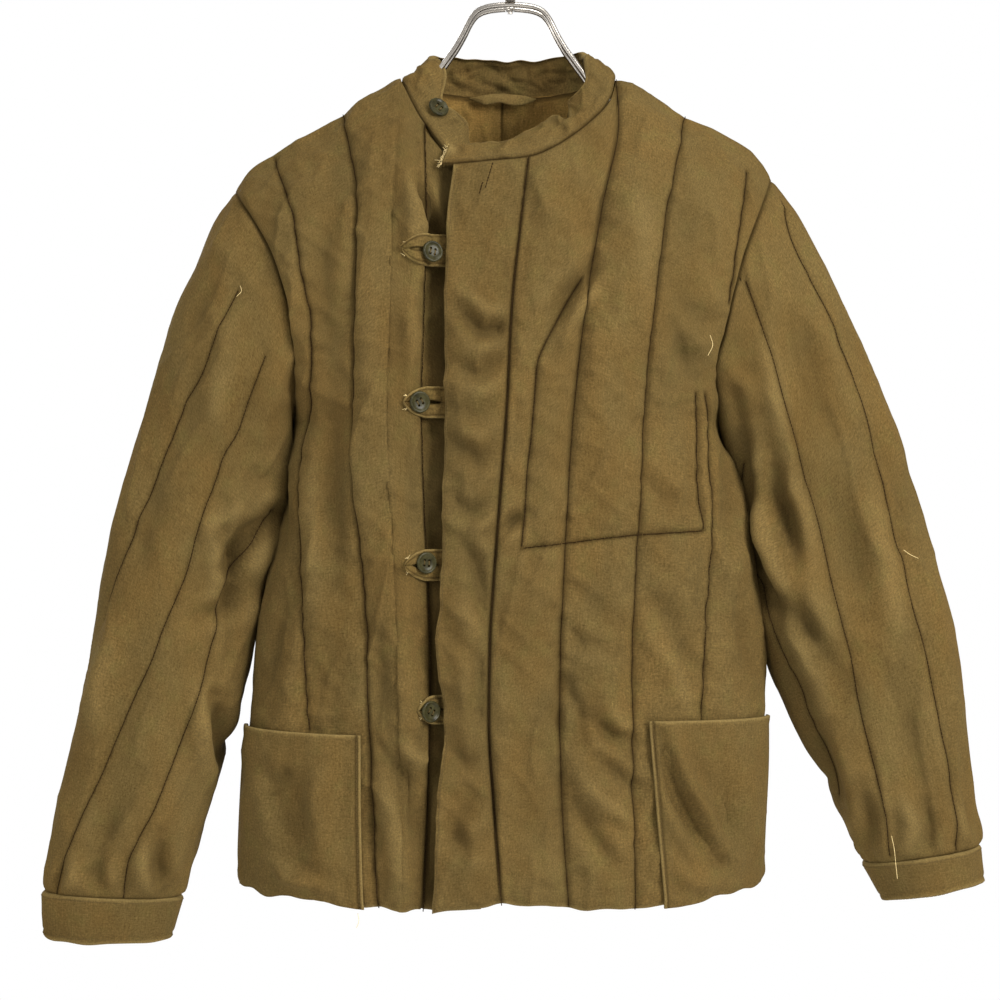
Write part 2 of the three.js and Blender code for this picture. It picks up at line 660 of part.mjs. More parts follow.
// Each sleeve is sewn from two halves, joined along its outer edge and just behind the arm.
const SLEEVE = { wall: WALL, seam: SLEEVE_SEAM };
const UNDERARM_SEAM = ARMHOLE_ROWS + 2; // its column, counted from the shoulder down the front
const frontHalf = (sleeve) => slice(sleeve, 0, UNDERARM_SEAM);
const backHalf = (sleeve) => sleeve.map((row) => [...row.slice(UNDERARM_SEAM), row[0]]);

const sleeveLeft = sleeveGrid(armholeLoop(frontLeft, back, -1), SLEEVE_LEFT);
const sleeveRight = sleeveGrid(armholeLoop(frontRight, back, 0), SLEEVE_RIGHT);

// ---------------------------------------------------------------- materials

const cloth = new THREE.MeshStandardMaterial({ color: 0x7d6a3c, roughness: 0.95, metalness: 0 });
const lining = new THREE.MeshStandardMaterial({ color: 0x80683a, roughness: 0.9, metalness: 0 });
const horn = new THREE.MeshStandardMaterial({ color: 0x2c301c, roughness: 0.35, metalness: 0 });
const chrome = new THREE.MeshStandardMaterial({ color: 0xc9c4ba, roughness: 0.15, metalness: 1 });

const jacket = new THREE.Group();
jacket.name = 'quilted_jacket_on_hanger';

function add(name, geometry, material) {
  const mesh = new THREE.Mesh(geometry, material);
  mesh.name = name;
  jacket.add(mesh);
}

// ---------------------------------------------------------------- the sewn pieces

const [leftBand, leftEnd] = [FRONT_STEPS_LEFT[1], FRONT_STEPS_LEFT.at(-1)];
const [rightBand, rightEnd] = [FRONT_STEPS_RIGHT[1], FRONT_STEPS_RIGHT.at(-1)];
const pieces = [
  { name: 'band_left', points: slice(frontLeft, 0, leftBand), wall: WALL, flip: true },
  { name: 'front_left', points: slice(frontLeft, leftBand, leftEnd), wall: WALL, flip: true },
  { name: 'band_right', points: slice(frontRight, 0, rightBand), wall: WALL },
  { name: 'front_right', points: slice(frontRight, rightBand, rightEnd), wall: WALL },
  { name: 'back', points: back, wall: WALL },
  { name: 'collar', points: collar, wall: COLLAR_WALL, seam: COLLAR_SEAM },
  { name: 'sleeve_left_front', points: frontHalf(sleeveLeft), ...SLEEVE },
  { name: 'sleeve_left_back', points: backHalf(sleeveLeft), ...SLEEVE },
  { name: 'sleeve_right_front', points: frontHalf(sleeveRight), ...SLEEVE, flip: true },
  { name: 'sleeve_right_back', points: backHalf(sleeveRight), ...SLEEVE, flip: true },
  {
    name: 'cuff_left', points: cuffGrid(sleeveLeft, SLEEVE_LEFT.at(-1), CUFF_LEFT_END),
    wall: CUFF_WALL, closed: true,
  },
  {
    name: 'cuff_right', points: cuffGrid(sleeveRight, SLEEVE_RIGHT.at(-1), CUFF_RIGHT_END),
    wall: CUFF_WALL, closed: true, flip: true,
  },
];
const normals = outwardNormals(pieces);
for (const piece of pieces) add(piece.name, clothGeometry(piece, normals), cloth);

// ---------------------------------------------------------------- pieces laid on the panels

const FRONTWARD = new THREE.Vector3(0, -1, 0);

// The front at a place and a height, where `place` counts sewn lines.
function frontAt(side, lines, place, z) {
  const top = frontPoint(side, lines, place, 0).z;
  const hem = frontPoint(side, lines, place, 1).z;
  return frontPoint(side, lines, place, (top - z) / (top - hem));
}

function pocketGeometry(side, lines, pocket) {
  const pointAt = (u, v) => {
    const mouthZ = mix(pocket.mouthInnerZ, pocket.mouthSideZ, u);
    const place = mix(3 + mix(pocket.mouth, pocket.hem, v), 3 + POCKET_SIDE, u);
    const hemZ = frontPoint(side, lines, place, 1).z + 1;
    return frontAt(side, lines, place, mix(mouthZ, hemZ, v));
  };
  return liedOn(8, 7, pointAt, FRONTWARD, REST, REST + POCKET_WALL);
}

add('pocket_left', pocketGeometry(LEFT, linesLeft, POCKET_LEFT), cloth);
add('pocket_right', pocketGeometry(RIGHT, linesRight, POCKET_RIGHT), cloth);

// The back's lining, where it shows inside the neck, and the hanging loop sewn over it.
const LINING_DEEP = 0.16; // how far down the back it is built, as a part of the panel
const BACK_NECK = [2.12, 2.88];
const liningAt = (u, v) =>
  backPoint(linesBack, mix(...BACK_NECK, u), mix(0.022, LINING_DEEP, v));
const behind = -(WALL + LINING_GAP);
add('lining_back', liedOn(10, 4, liningAt, new THREE.Vector3(0, 1, 0),
  behind - LINING_WALL, behind), lining);

const LOOP = { fromX: -36, toX: 23, deep: 9, stands: 7, thick: 2.2, z: -143 };
const loopAt = (u, v) => {
  const x = mix(LOOP.fromX, LOOP.toX, u);
  const bow = Math.sin(Math.PI * u);
  const back = depthAt('back', x, LOOP.z) - LOOP_INSIDE;
  const z = LOOP.z - LOOP.deep * mix(0.12, 1, bow) * v;
  return new THREE.Vector3(x, back - LOOP.stands * bow, z);
};
add('hanging_loop', liedOn(10, 2, loopAt, FRONTWARD, 0, LOOP.thick), cloth);

// A loop of doubled cloth: it comes out from under the over front, and ends in a point.
const SLIT = { from: 0.38, to: 0.72, half: 1.2 };

// The outline of a loop flat on the table: its root is at the origin and its point is at -long.
function tabShape(long, tall) {
  const shape = new THREE.Shape();
  const half = tall / 2;
  shape.moveTo(0, -half);
  shape.lineTo(-TAB_BEND, -half);
  shape.lineTo(-long * 0.58, -half * 0.94);
  shape.quadraticCurveTo(-long * 0.9, -half * 0.45, -long, 0);
  shape.quadraticCurveTo(-long * 0.9, half * 0.45, -long * 0.58, half * 0.94);
  shape.lineTo(-TAB_BEND, half);
  shape.lineTo(0, half);
  shape.closePath();
  const slit = new THREE.Path();
  slit.moveTo(-long * SLIT.from, -SLIT.half);
  slit.lineTo(-long * SLIT.from, SLIT.half);
  slit.lineTo(-long * SLIT.to, SLIT.half);
  slit.lineTo(-long * SLIT.to, -SLIT.half);
  slit.closePath();
  shape.holes.push(slit);
  return shape;
}

// Where the under front's outer face is, in front of the middle plane.
function underFrontY(x, z) {
  return lapBack(x, z) - depthAt('front', x, z);
}

// A loop's back: past the over front's edge it leans out over the channel that its point rests on.
function tabBack(tab) {
  const rootX = overEdge.at(tab.tipZ) + TAB_ROOT;
  const rootY = (z) => underFrontY(rootX, z) - TAB_LIFT.root;
  const tipY = (z) => underFrontY(tab.tipX, z) - PUFF - TAB_LIFT.tip;
  const bendX = rootX - TAB_BEND;
  const part = (x) => Math.max((x - bendX) / (tab.tipX - bendX), 0);
  const at = (x, z) => mix(rootY(z), tipY(z), part(x));
  const lean = (at(tab.tipX, tab.tipZ) - at(bendX, tab.tipZ)) / (tab.tipX - bendX);
  return { rootX, lean, at };
}

function tabGeometry(tab) {
  const { rootX, at } = tabBack(tab);
  const flat = new THREE.ExtrudeGeometry(tabShape(rootX - tab.tipX, tab.tall), {
    depth: TAB_WALL, steps: 1, bevelEnabled: false, curveSegments: 3,
  });
  const position = flat.getAttribute('position');
  for (let i = 0; i < position.count; i++) {
    const x = rootX + position.getX(i);
    const z = tab.tipZ + position.getY(i);
    position.setXYZ(i, x, at(x, z) - position.getZ(i), z);
  }
  return flat;
}

// ---------------------------------------------------------------- buttons

const wasm = await Module();
wasm.setup();

function toSolid(geometry) {
  const bare = geometry.clone();
  bare.deleteAttribute('normal');
  bare.deleteAttribute('uv');
  const merged = mergeVertices(bare, 1e-4);
  return new wasm.Manifold(new wasm.Mesh({
    numProp: 3,
    vertProperties: new Float32Array(merged.getAttribute('position').array),
    triVerts: new Uint32Array(merged.index.array),
  }));
}

function toGeometry(solid) {
  const mesh = solid.getMesh();
  const geometry = new THREE.BufferGeometry();
  geometry.setAttribute('position', new THREE.Float32BufferAttribute(mesh.vertProperties, 3));
  geometry.setIndex(Array.from(mesh.triVerts));
  return geometry;
}

// Half the outline of a button, from its back to its front: a rim round a shallow dish.
const BUTTON_PROFILE = [
  { radius: 0, out: 0 },
  { radius: 0.72, out: 0 },
  { radius: 1, out: 1.3 },
  { radius: 1, out: 2.4 },
  { radius: 0.88, out: 3.2 },
  { radius: 0.7, out: 2.3 },
  { radius: 0, out: 2 },
];
const HOLE = { radius: 1, fromMiddle: 1.9 };
const BUTTON_SIDES = 14;

// A four-hole button that faces the front, its back at the origin.
function buttonGeometry() {
  const profile = BUTTON_PROFILE.map((row) =>
    new THREE.Vector2(row.radius * BUTTON_RADIUS, row.out));
  let solid = toSolid(new THREE.LatheGeometry(profile, BUTTON_SIDES));
  for (const [sideways, up] of [[1, 1], [1, -1], [-1, 1], [-1, -1]]) {
    const drill = new THREE.CylinderGeometry(HOLE.radius, HOLE.radius, 8, 6);
    drill.translate(sideways * HOLE.fromMiddle, 1, up * HOLE.fromMiddle);
    solid = solid.subtract(toSolid(drill));
  }
  return toGeometry(solid).rotateX(Math.PI);
}

const button = buttonGeometry();
TABS.forEach((tab, i) => {
  add(`tab_${i + 1}`, tabGeometry(tab), cloth);
  const { lean, at } = tabBack(tab);
  const rise = (at(tab.buttonX, tab.buttonZ + 5) - at(tab.buttonX, tab.buttonZ - 5)) / 10;
  const geometry = button.clone().rotateX(-Math.atan(rise)).rotateZ(Math.atan(lean))
    .translate(tab.buttonX, at(tab.buttonX, tab.buttonZ) - TAB_WALL - BUTTON_OFF, tab.buttonZ);
  add(`button_${i + 1}`, geometry, horn);
});

// The collar's own button, halfway up the end that lies under.
const COLLAR_BUTTON = { column: 3, row: 1, lift: 1.6 };
const { column: buttonColumn, row: buttonRow, lift: buttonLift } = COLLAR_BUTTON;
const seat = collar[buttonRow][buttonColumn].clone().lerp(collar[buttonRow + 1][buttonColumn], 0.5);
const seatOut = normals.get(keyOf(collar[buttonRow][buttonColumn]));
const turn = new THREE.Quaternion().setFromUnitVectors(FRONTWARD, seatOut);
seat.addScaledVector(seatOut, buttonLift);
add('button_collar', button.clone().applyQuaternion(turn).translate(seat.x, seat.y, seat.z), horn);

// ---------------------------------------------------------------- the hanger

const WIRE_SIDES = 8;
const WIRE_END_STEPS = 5;

// Half the wire's run in the plane of the hanger, from the arch to the shoulder's end.
function wireHalf(sign) {
  const points = WIRE.map((row) => [sign * row.x, row.z]);
  for (let x = 112; x <= WIRE_END_X; x += 18) {
    points.push([sign * x, ridgeZ(sign * x) - WIRE_UNDER]);
  }
  return points;
}

// The wire is one closed loop: along the front, round one end, and back behind.
function wirePath() {
  const across = [...wireHalf(-1).reverse(), ...wireHalf(1).slice(1)];
  const along = (y, order) => order.map(([x, z]) => new THREE.Vector3(x, y, z));
  const round = (end, from) => {
    const [x, z] = end;
    return Array.from({ length: WIRE_END_STEPS }, (_, i) => {
      const turn = (Math.PI * (i + 1)) / (WIRE_END_STEPS + 1);
      const reach = WIRE_APART * Math.sin(turn) * Math.sign(x);
      return new THREE.Vector3(
        x + reach, from * WIRE_APART * Math.cos(turn), z - Math.abs(reach) * 0.9);
    });
  };
  return [
    ...along(-WIRE_APART, across), ...round(across.at(-1), -1),
    ...along(WIRE_APART, [...across].reverse()), ...round(across[0], 1),
  ];
}

// A round bar through the points. A loop has no ends, and an open bar has flat ones.
function barGeometry(points, radius, sides, loop) {
  const count = points.length;
  const positions = [];
  const index = [];
  let side = new THREE.Vector3(0, 1, 0);
  points.forEach((p, k) => {
    const before = loop ? points.at(k - 1) : points[Math.max(k - 1, 0)];
    const after = loop ? points[(k + 1) % count] : points[Math.min(k + 1, count - 1)];
    const along = new THREE.Vector3().subVectors(after, before).normalize();
    side = side.addScaledVector(along, -side.dot(along)).normalize();
    const other = new THREE.Vector3().crossVectors(along, side);
    for (let i = 0; i < sides; i++) {
      const turn = (2 * Math.PI * i) / sides;
      const q = p.clone().addScaledVector(side, radius * Math.cos(turn))
        .addScaledVector(other, radius * Math.sin(turn));
      positions.push(q.x, q.y, q.z);
    }
    side = side.clone();
  });
  const rings = loop ? count : count - 1;
  for (let k = 0; k < rings; k++) {
    for (let i = 0; i < sides; i++) {
      const n = (i + 1) % sides;
      const [a, b] = [k * sides + i, k * sides + n];
      const [c, d] = [((k + 1) % count) * sides + n, ((k + 1) % count) * sides + i];
      index.push(a, b, c, a, c, d);
    }
  }
  for (let i = 1; i < sides - 1 && !loop; i++) {
    const last = (count - 1) * sides;
    index.push(0, i + 1, i, last, last + i, last + i + 1);
  }
  const geometry = new THREE.BufferGeometry();
  geometry.setAttribute('position', new THREE.Float32BufferAttribute(positions, 3));
  geometry.setIndex(index);
  return geometry;
}

add('hanger_wire', barGeometry(wirePath(), WIRE_RADIUS, WIRE_SIDES, true), chrome);

// A plate lies across both wires, and the hook's stem turns in it with a nut below.
const PLATE = { wide: 9, deep: 37, thick: 3, z: -60.9 };
const STEM_RADIUS = 2.2;
const plate = new THREE.BoxGeometry(PLATE.wide, PLATE.deep, PLATE.thick);
const bore = new THREE.CylinderGeometry(STEM_RADIUS + 0.3, STEM_RADIUS + 0.3, 12, 12)
  .rotateX(Math.PI / 2);
add('hanger_plate', toGeometry(toSolid(plate).subtract(toSolid(bore)))
  .translate(0, 0, PLATE.z), chrome);

const HOOK_PITCH = HOOK_RADIUS + STEM_RADIUS;
const HOOK_TURNS = 14; // steps round the bend
const HOOK_SWEEP = 1.28 * Math.PI;

// The stem's foot, then its neck, then the bend over the top from the wearer's left.
function hookPath() {
  const middleZ = STEM_RADIUS - HOOK_PITCH;
  const start = -0.28 * Math.PI;
  const bend = Array.from({ length: HOOK_TURNS + 1 }, (_, i) => {
    const turn = start + (HOOK_SWEEP * i) / HOOK_TURNS;
    return new THREE.Vector3(
      HOOK_PITCH * Math.cos(turn), 0, middleZ + HOOK_PITCH * Math.sin(turn));
  });
  const foot = [-71, -64, -58, -50, -45].map((z) => new THREE.Vector3(0, 0, z));
  return [...foot, new THREE.Vector3(4, 0, -40.5), ...bend];
}
add('hanger_hook', barGeometry(hookPath(), STEM_RADIUS, 10, false), chrome);

const NUT = { radius: 4.6, tall: 4, z: -66.6 };
const nutBody = new THREE.CylinderGeometry(NUT.radius, NUT.radius, NUT.tall, 6)
  .rotateX(Math.PI / 2);
add('hanger_nut', toGeometry(toSolid(nutBody).subtract(toSolid(bore)))
  .translate(0, 0, NUT.z), chrome);

export default jacket;
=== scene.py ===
"""A worn quilted cotton jacket on a chromed wire hanger.

Sizes in the tables are millimetres. +X is the wearer's left, -Y is the front and +Z is up.
The CAD frame gives the place of every piece; this script makes the cloth, its quilting,
stitches, buttons, metal and light.
"""
import math

import bmesh
import bpy
import numpy as np
from bpy.props import FloatProperty, FloatVectorProperty, PointerProperty
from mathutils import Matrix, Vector, kdtree
from mathutils.bvhtree import BVHTree


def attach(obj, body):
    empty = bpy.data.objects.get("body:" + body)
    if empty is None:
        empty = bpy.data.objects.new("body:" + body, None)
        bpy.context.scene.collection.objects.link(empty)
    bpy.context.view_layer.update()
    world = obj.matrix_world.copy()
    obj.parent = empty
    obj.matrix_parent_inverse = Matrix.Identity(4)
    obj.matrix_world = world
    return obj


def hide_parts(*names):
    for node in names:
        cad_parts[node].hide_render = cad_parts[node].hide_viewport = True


bl_info = {
    "name": "Quilted Jacket",
    "version": (1, 0, 0),
    "blender": (4, 5, 0),
    "location": "3D View > Sidebar > Jacket",
    "description": "Builds a quilted cotton jacket on a wire hanger",
    "category": "Object",
}

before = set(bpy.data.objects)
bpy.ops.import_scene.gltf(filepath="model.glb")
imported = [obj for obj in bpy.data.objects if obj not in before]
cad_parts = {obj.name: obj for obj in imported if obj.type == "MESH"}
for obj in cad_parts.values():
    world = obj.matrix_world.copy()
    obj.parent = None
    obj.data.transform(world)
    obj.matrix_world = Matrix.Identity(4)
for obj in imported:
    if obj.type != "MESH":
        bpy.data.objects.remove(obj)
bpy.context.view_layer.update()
MM = 0.001

# ------------------------------------------------------------------ the cut, in millimetres

FRONTWARD = (0, -1, 0)
FAR = 400.0  # clear of every piece
EDGES = ((1, 0), (1, -1), (0, 0), (0, -1))  # a grid's sides, top and foot: its axis and its end
HEM_EDGE = (0, -1)

# how thick each kind of piece is
WALL = 7.0
COLLAR_WALL = 5.0
CUFF_WALL = 4.0
LINING_WALL = 1.2
POCKET_WALL = 1.8
TAB_WALL = 1.8
LEAST_WALL = 2.6

# the form of the body
MID_X = -5.0
UNDERARM_Z = -424.0
ROW_GRADING = 1.6
PUFF = 4.5
PINCH = 2.2
LAP = 13.0
LAP_RAMP = 22.0
NECK_BACK_Z = -137.0
NECK_OPEN = 55.0
SOFT_TUBE = 1.6
SWELL_TOP = -342.0
SLEEVE_ROUND = 400.0
BAND_WIDE = 63.0
LOOP_STEP = 0.8
NECK_MIDDLE = (MID_X, -6.0, -150.0)
LINING_SEAM_X = -7.0
LINING_PLEAT_X = 7.5

# how far seam allowances run on, how deep pieces sink, and how far they stand apart
SEAM_TURN = 7.0
CORNER_TURN = 0.5
ARMHOLE_TUCK = (17.0, 7.0)
SEAM_SINK = 2.4
SHOULDER_TURN = 3.0
SHOULDER_SINK = 5.0
COLLAR_SINK = 1.5
UNDER_BAND_SINK = 3.0
POCKET_SINK = 1.4
POCKET_GAP = 2.3
LOOP_GAP = 0.3
LINING_GAP = 3.0
LINING_TUCK = 5.0
LEAST_SHARE = 0.31  # the least part of its flat rectangle that a piece is taken to fill

# rows of stitches: how far in from an edge, how far apart along a path, and how far out
BAND_STITCH = 4.2
POCKET_STITCH = 3.4
POCKET_ROWS = {"left": (POCKET_STITCH, 9.0), "right": (POCKET_STITCH,)}
CUFF_ROWS = (3.2, 35.0)
COLLAR_STITCH = 4.0
COLLAR_SEAM_STITCH = 3.2
LOOP_STITCH = 2.6
THREAD_STEP = 1.6
THREAD_LIFT = 0.1
QUILTING_LIFT = 0.05
FRAY_RADIUS = 0.16
LAY_REACH = 14.0

# dirt and painted shadow, from 0 to 1, and how high a fold must stand for the painted shade in its
# trough and the painted highlight on its ridge to be in full
FOLD_HIGH = 6.0
BAND_SOIL = 0.22
# painted shadow cast by the over band on the under band, and how far from its edge it reaches
LAP_PAINTED_SHADOW = 0.75
LAP_SHADE = 12.0
CUFF_SOIL = 0.2
FRONT_SOIL = {"left": 0.0, "right": 0.1}

# buttons and hanger
BUTTON_RADIUS = 9.0
WIRE_RADIUS = 2.3
WIRE_APART = 12.5
WIRE_END_X = 184.0
WIRE_UNDER = 21.0
HOOK_RADIUS = 20.0
STEM_RADIUS = 2.2


def table(names, rows):
    """A table with named columns."""
    columns = zip(*rows)
    return {name: np.array(column, float) for name, column in zip(names.split(), columns)}


RIDGE = table("x z", [
    (-236.5, -224), (-223, -204.5), (-208, -194), (-150, -161), (-94, -130), (-50, -128),
    (50, -126), (91, -127), (151, -159), (187, -176), (206, -188), (225, -214),
])
FALL = table("drop part", [
    (0, 0), (5, 0.12), (12, 0.215), (30, 0.38), (60, 0.56), (100, 0.72), (160, 0.86),
    (240, 0.95), (340, 1),
])
BODY = table("z right left front back", [
    (-840, -231, 212, 98, 90),
    (-772, -229, 215, 97, 91),
    (-700, -225, 218, 97, 93),
    (-643, -219, 218, 98, 94),
    (-580, -212, 215, 98, 95),
    (-522, -201, 207, 98, 96),
    (-460, -188, 194, 99, 96),
    (-424, -184, 180, 99, 96),
    (-300, -184, 180, 99, 95),
    (-120, -184, 180, 98, 93),
])
ARMHOLE = {
    "right": table("z front front_part back back_part", [
        (-424, -184, 0, -184, 0),
        (-404, -181, 0.32, -183, 0.3),
        (-380, -180, 0.5, -184, 0.48),
        (-344, -182, 0.66, -189, 0.64),
        (-311, -191, 0.74, -197, 0.73),
        (-281, -202, 0.78, -207, 0.78),
        (-248, -221, 0.84, -222, 0.84),
        (-232, -232, 0.95, -232, 0.95),
        (-224, -236.5, 1, -236.5, 1),
    ]),
    "left": table("z front front_part back back_part", [
        (-424, 180, 0, 180, 0),
        (-404, 175, 0.34, 179, 0.31),
        (-378, 172, 0.52, 178, 0.49),
        (-350, 180, 0.65, 184, 0.63),
        (-306, 191, 0.74, 194, 0.73),
        (-282, 198, 0.77, 201, 0.77),
        (-241, 214, 0.84, 214, 0.84),
        (-224, 221, 0.94, 221, 0.94),
        (-214, 225, 1, 225, 1),
    ]),
}
NECK = {
    "right": table("x z", [
        (-94, -130), (-76, -164), (-58, -188), (-46, -203), (-10, -210), (10, -211),
    ]),
    "left": table("x z", [
        (-60, -206.5), (-48, -206), (-22, -203.5), (17, -199.5), (37, -191), (69, -167),
        (86, -146), (91, -127),
    ]),
}
LINES = {
    "left": table("z edge band neck shoulder", [
        (0, -47.5, 15.5, 91, 151),
        (-160, -46, 18, 92, 149),
        (-250, -54, 9.5, 76, 131),
        (-330, -56, 1, 62.5, 120),
        (-410, -56, -3, 53.5, 113),
        (-490, -57.5, -9, 47.5, 109),
        (-570, -59, -15, 43.5, 104),
        (-605, -63.5, -17, 42, 102.5),
        (-670, -56.5, -18, 41, 102),
        (-740, -60.5, -14, 43, 102.5),
        (-840, -66.5, -6, 49.5, 105),
    ]),
    "right": table("z edge band neck shoulder", [
        (0, -10, -72, -94, -144),
        (-250, -14, -69.5, -98, -129),
        (-330, -16, -71, -100, -130),
        (-410, -17, -73, -102, -131),
        (-490, -18, -71, -99, -128),
        (-570, -20, -67.5, -95, -122),
        (-650, -21, -66, -92, -119),
        (-740, -21, -68, -91, -116),
        (-840, -25, -73, -90, -110),
    ]),
    "back": table("z right right_neck left_neck left", [
        (0, -144, -94, 91, 151),
        (-250, -132, -80, 72, 132),
        (-410, -128, -72, 62, 118),
        (-570, -133, -73, 60, 116),
        (-840, -140, -78, 60, 120),
    ]),
}
HEM = {
    "left": {"edge": -833, "band": -826, "neck": -828, "shoulder": -831, "side": -815},
    "right": {"edge": -831, "band": -833, "neck": -831, "shoulder": -830, "side": -816},
    "back": -824,
}
SLEEVE = {
    "right": table("out_x out_z in_x in_z half mid_y", [
        (-236.5, -224, -184, -424, 62, 0),
        (-256, -254, -189.5, -437.5, 65, 1),
        (-270, -290, -189, -455, 67, 3),
        (-284, -322, -193, -478, 68, 5),
        (-298, -364, -199.5, -505, 67, 6),
        (-311, -405, -206, -535, 66, 6),
        (-325, -452, -212, -566, 64, 5),
        (-339, -507, -217.5, -598, 62, 3),
        (-351, -562, -224.5, -634, 60, 0),
        (-361, -620, -234, -674, 57, -3),
        (-371, -672, -245, -713, 54, -6),
        (-382, -724, -257, -753, 50, -9),
        (-392, -775, -270, -792, 45, -12),
        (-398, -822, -281, -827, 40, -14),
    ]),
    "left": table("out_x out_z in_x in_z half mid_y", [
        (225, -214, 180, -424, 62, 0),
        (245, -240, 185, -434, 65, 1),
        (265, -275, 192.5, -450, 67, 3),
        (287, -321, 200, -476, 68, 5),
        (305, -359, 206.5, -505, 67, 6),
        (325, -408, 212, -535, 66, 6),
        (340, -455, 216, -565, 64, 5),
        (353, -497, 218.5, -595, 62, 3),
        (367, -546, 222, -630, 60, 0),
        (380, -595, 235, -664, 57, -3),
        (387, -643, 249, -695, 54, -6),
        (392, -690, 266, -727, 50, -9),
        (397, -738, 286, -762, 45, -12),
        (401, -783, 302, -798, 40, -14),
    ]),
}
CUFF_END = {
    "right": {"out_x": -397, "out_z": -861, "in_x": -291, "in_z": -864, "half": 37, "mid_y": -15},
    "left": {"out_x": 404, "out_z": -814, "in_x": 319, "in_z": -828, "half": 37, "mid_y": -15},
}
ARMHOLE_KEPT = [1, 0.72, 0.46, 0.25, 0.1, 0]
POCKET = {
    "left": {"mouth": 0.068, "hem": 0.137, "inner_z": -672, "side_z": -672},
    "right": {"mouth": 0.035, "hem": 0.058, "inner_z": -684, "side_z": -680},
}
POCKET_SIDE = 0.93
TABS = table("tip_x tip_z tall", [
    (-90, -281, 27), (-89, -408, 26), (-87.5, -543, 26), (-77, -663, 24),
])
TAB_ROOT = 7.0
TAB_BEND = 8.5
TAB_LIFT = {"root": 1.5, "tip": 2.0}
WIRE = table("x z", [
    (0, -65), (10, -65.5), (20, -67), (28, -70.5), (34, -78), (40, -90), (47, -102),
    (52, -109), (57, -116), (63, -124), (69, -133), (76, -141), (86, -148),
])
UNDERARM_SWELL = {"right": (8.0, -590), "left": (11.5, -655)}
SLEEVE_SLANT = {"right": -22.0, "left": 22.0}
SEWN_PLACES = {"left": (2.0, 3.0), "right": (3.0,)}

# Sewn lines that don't follow the cut, as (x, z) down the front.
CHEST_POCKET = {
    "side": [(62, -303), (48, -324), (34, -349), (25, -367), (22, -376), (19.5, -406),
             (17, -436), (13.5, -465), (12, -495), (9, -529)],
    "bottom": [(9, -529), (44, -525), (76, -521), (107, -518), (140, -516), (164, -514.5)],
    "outer": [(158.5, -400), (158.5, -420), (159, -465), (164, -514.5)],
    "long": [(165, -400), (167, -436), (169, -472), (171.5, -510), (171.5, -529),
             (170, -554), (166, -583), (163, -638), (159.5, -682)],
    "armhole": [(203, -207), (197.5, -246), (192.5, -273), (188, -299), (184, -324)],
}
RIGHT_FRONT_LINES = [
    [(-204, -193), (-199.5, -206), (-189, -231), (-181.5, -257), (-177.5, -287), (-171.5, -317),
     (-168, -333), (-166.5, -370), (-168, -406), (-174, -443), (-178, -480), (-178.5, -510),
     (-179, -539), (-176.5, -580), (-174, -613), (-172.5, -644), (-168.5, -682)],
]
SLEEVE_LINES = {
    "right": [
        [(-230, -312), (-251, -358), (-262.5, -385), (-274.5, -405), (-288, -435),
         (-299.5, -462), (-309, -487), (-319, -514), (-328, -540), (-337.5, -562),
         (-346, -588)],
        [(-205, -368), (-219, -405), (-229, -433), (-240, -451), (-248, -475), (-255, -493),
         (-263.5, -519), (-271, -548), (-282, -575), (-292, -598), (-301, -623),
         (-317, -655), (-331.5, -687), (-345, -720), (-356, -745), (-367, -771),
         (-374, -788), (-382, -812), (-384, -822)],
        [(-204, -497), (-216, -520), (-231, -549), (-242, -579), (-256, -633), (-267.5, -665),
         (-277, -694), (-288.5, -723), (-299.5, -750), (-312, -773), (-322, -797),
         (-325.5, -824)],
    ],
    "left": [
        [(233, -232), (238, -262), (249.5, -288), (262, -315), (274, -345), (291, -388),
         (297, -405), (308.5, -443), (317.5, -477), (323.5, -502), (329.5, -529),
         (334, -540), (338.5, -576), (347, -608), (355.5, -641), (363, -678), (370, -708),
         (373, -735), (376, -784)],
        [(198, -305), (207, -331), (212.5, -348), (220, -370), (229.5, -405), (239.5, -439),
         (247, -470), (254.5, -493), (260.5, -516), (268, -550), (275.5, -581),
         (286, -621), (292.5, -658), (300, -690), (308.5, -723), (317, -756), (321, -788)],
        [(200, -457), (203.5, -487), (208.5, -513), (214.5, -540), (222, -567),
         (229.5, -600), (233.5, -624), (245.5, -654), (254.5, -681), (262, -703),
         (272, -732), (281, -757)],
    ],
}
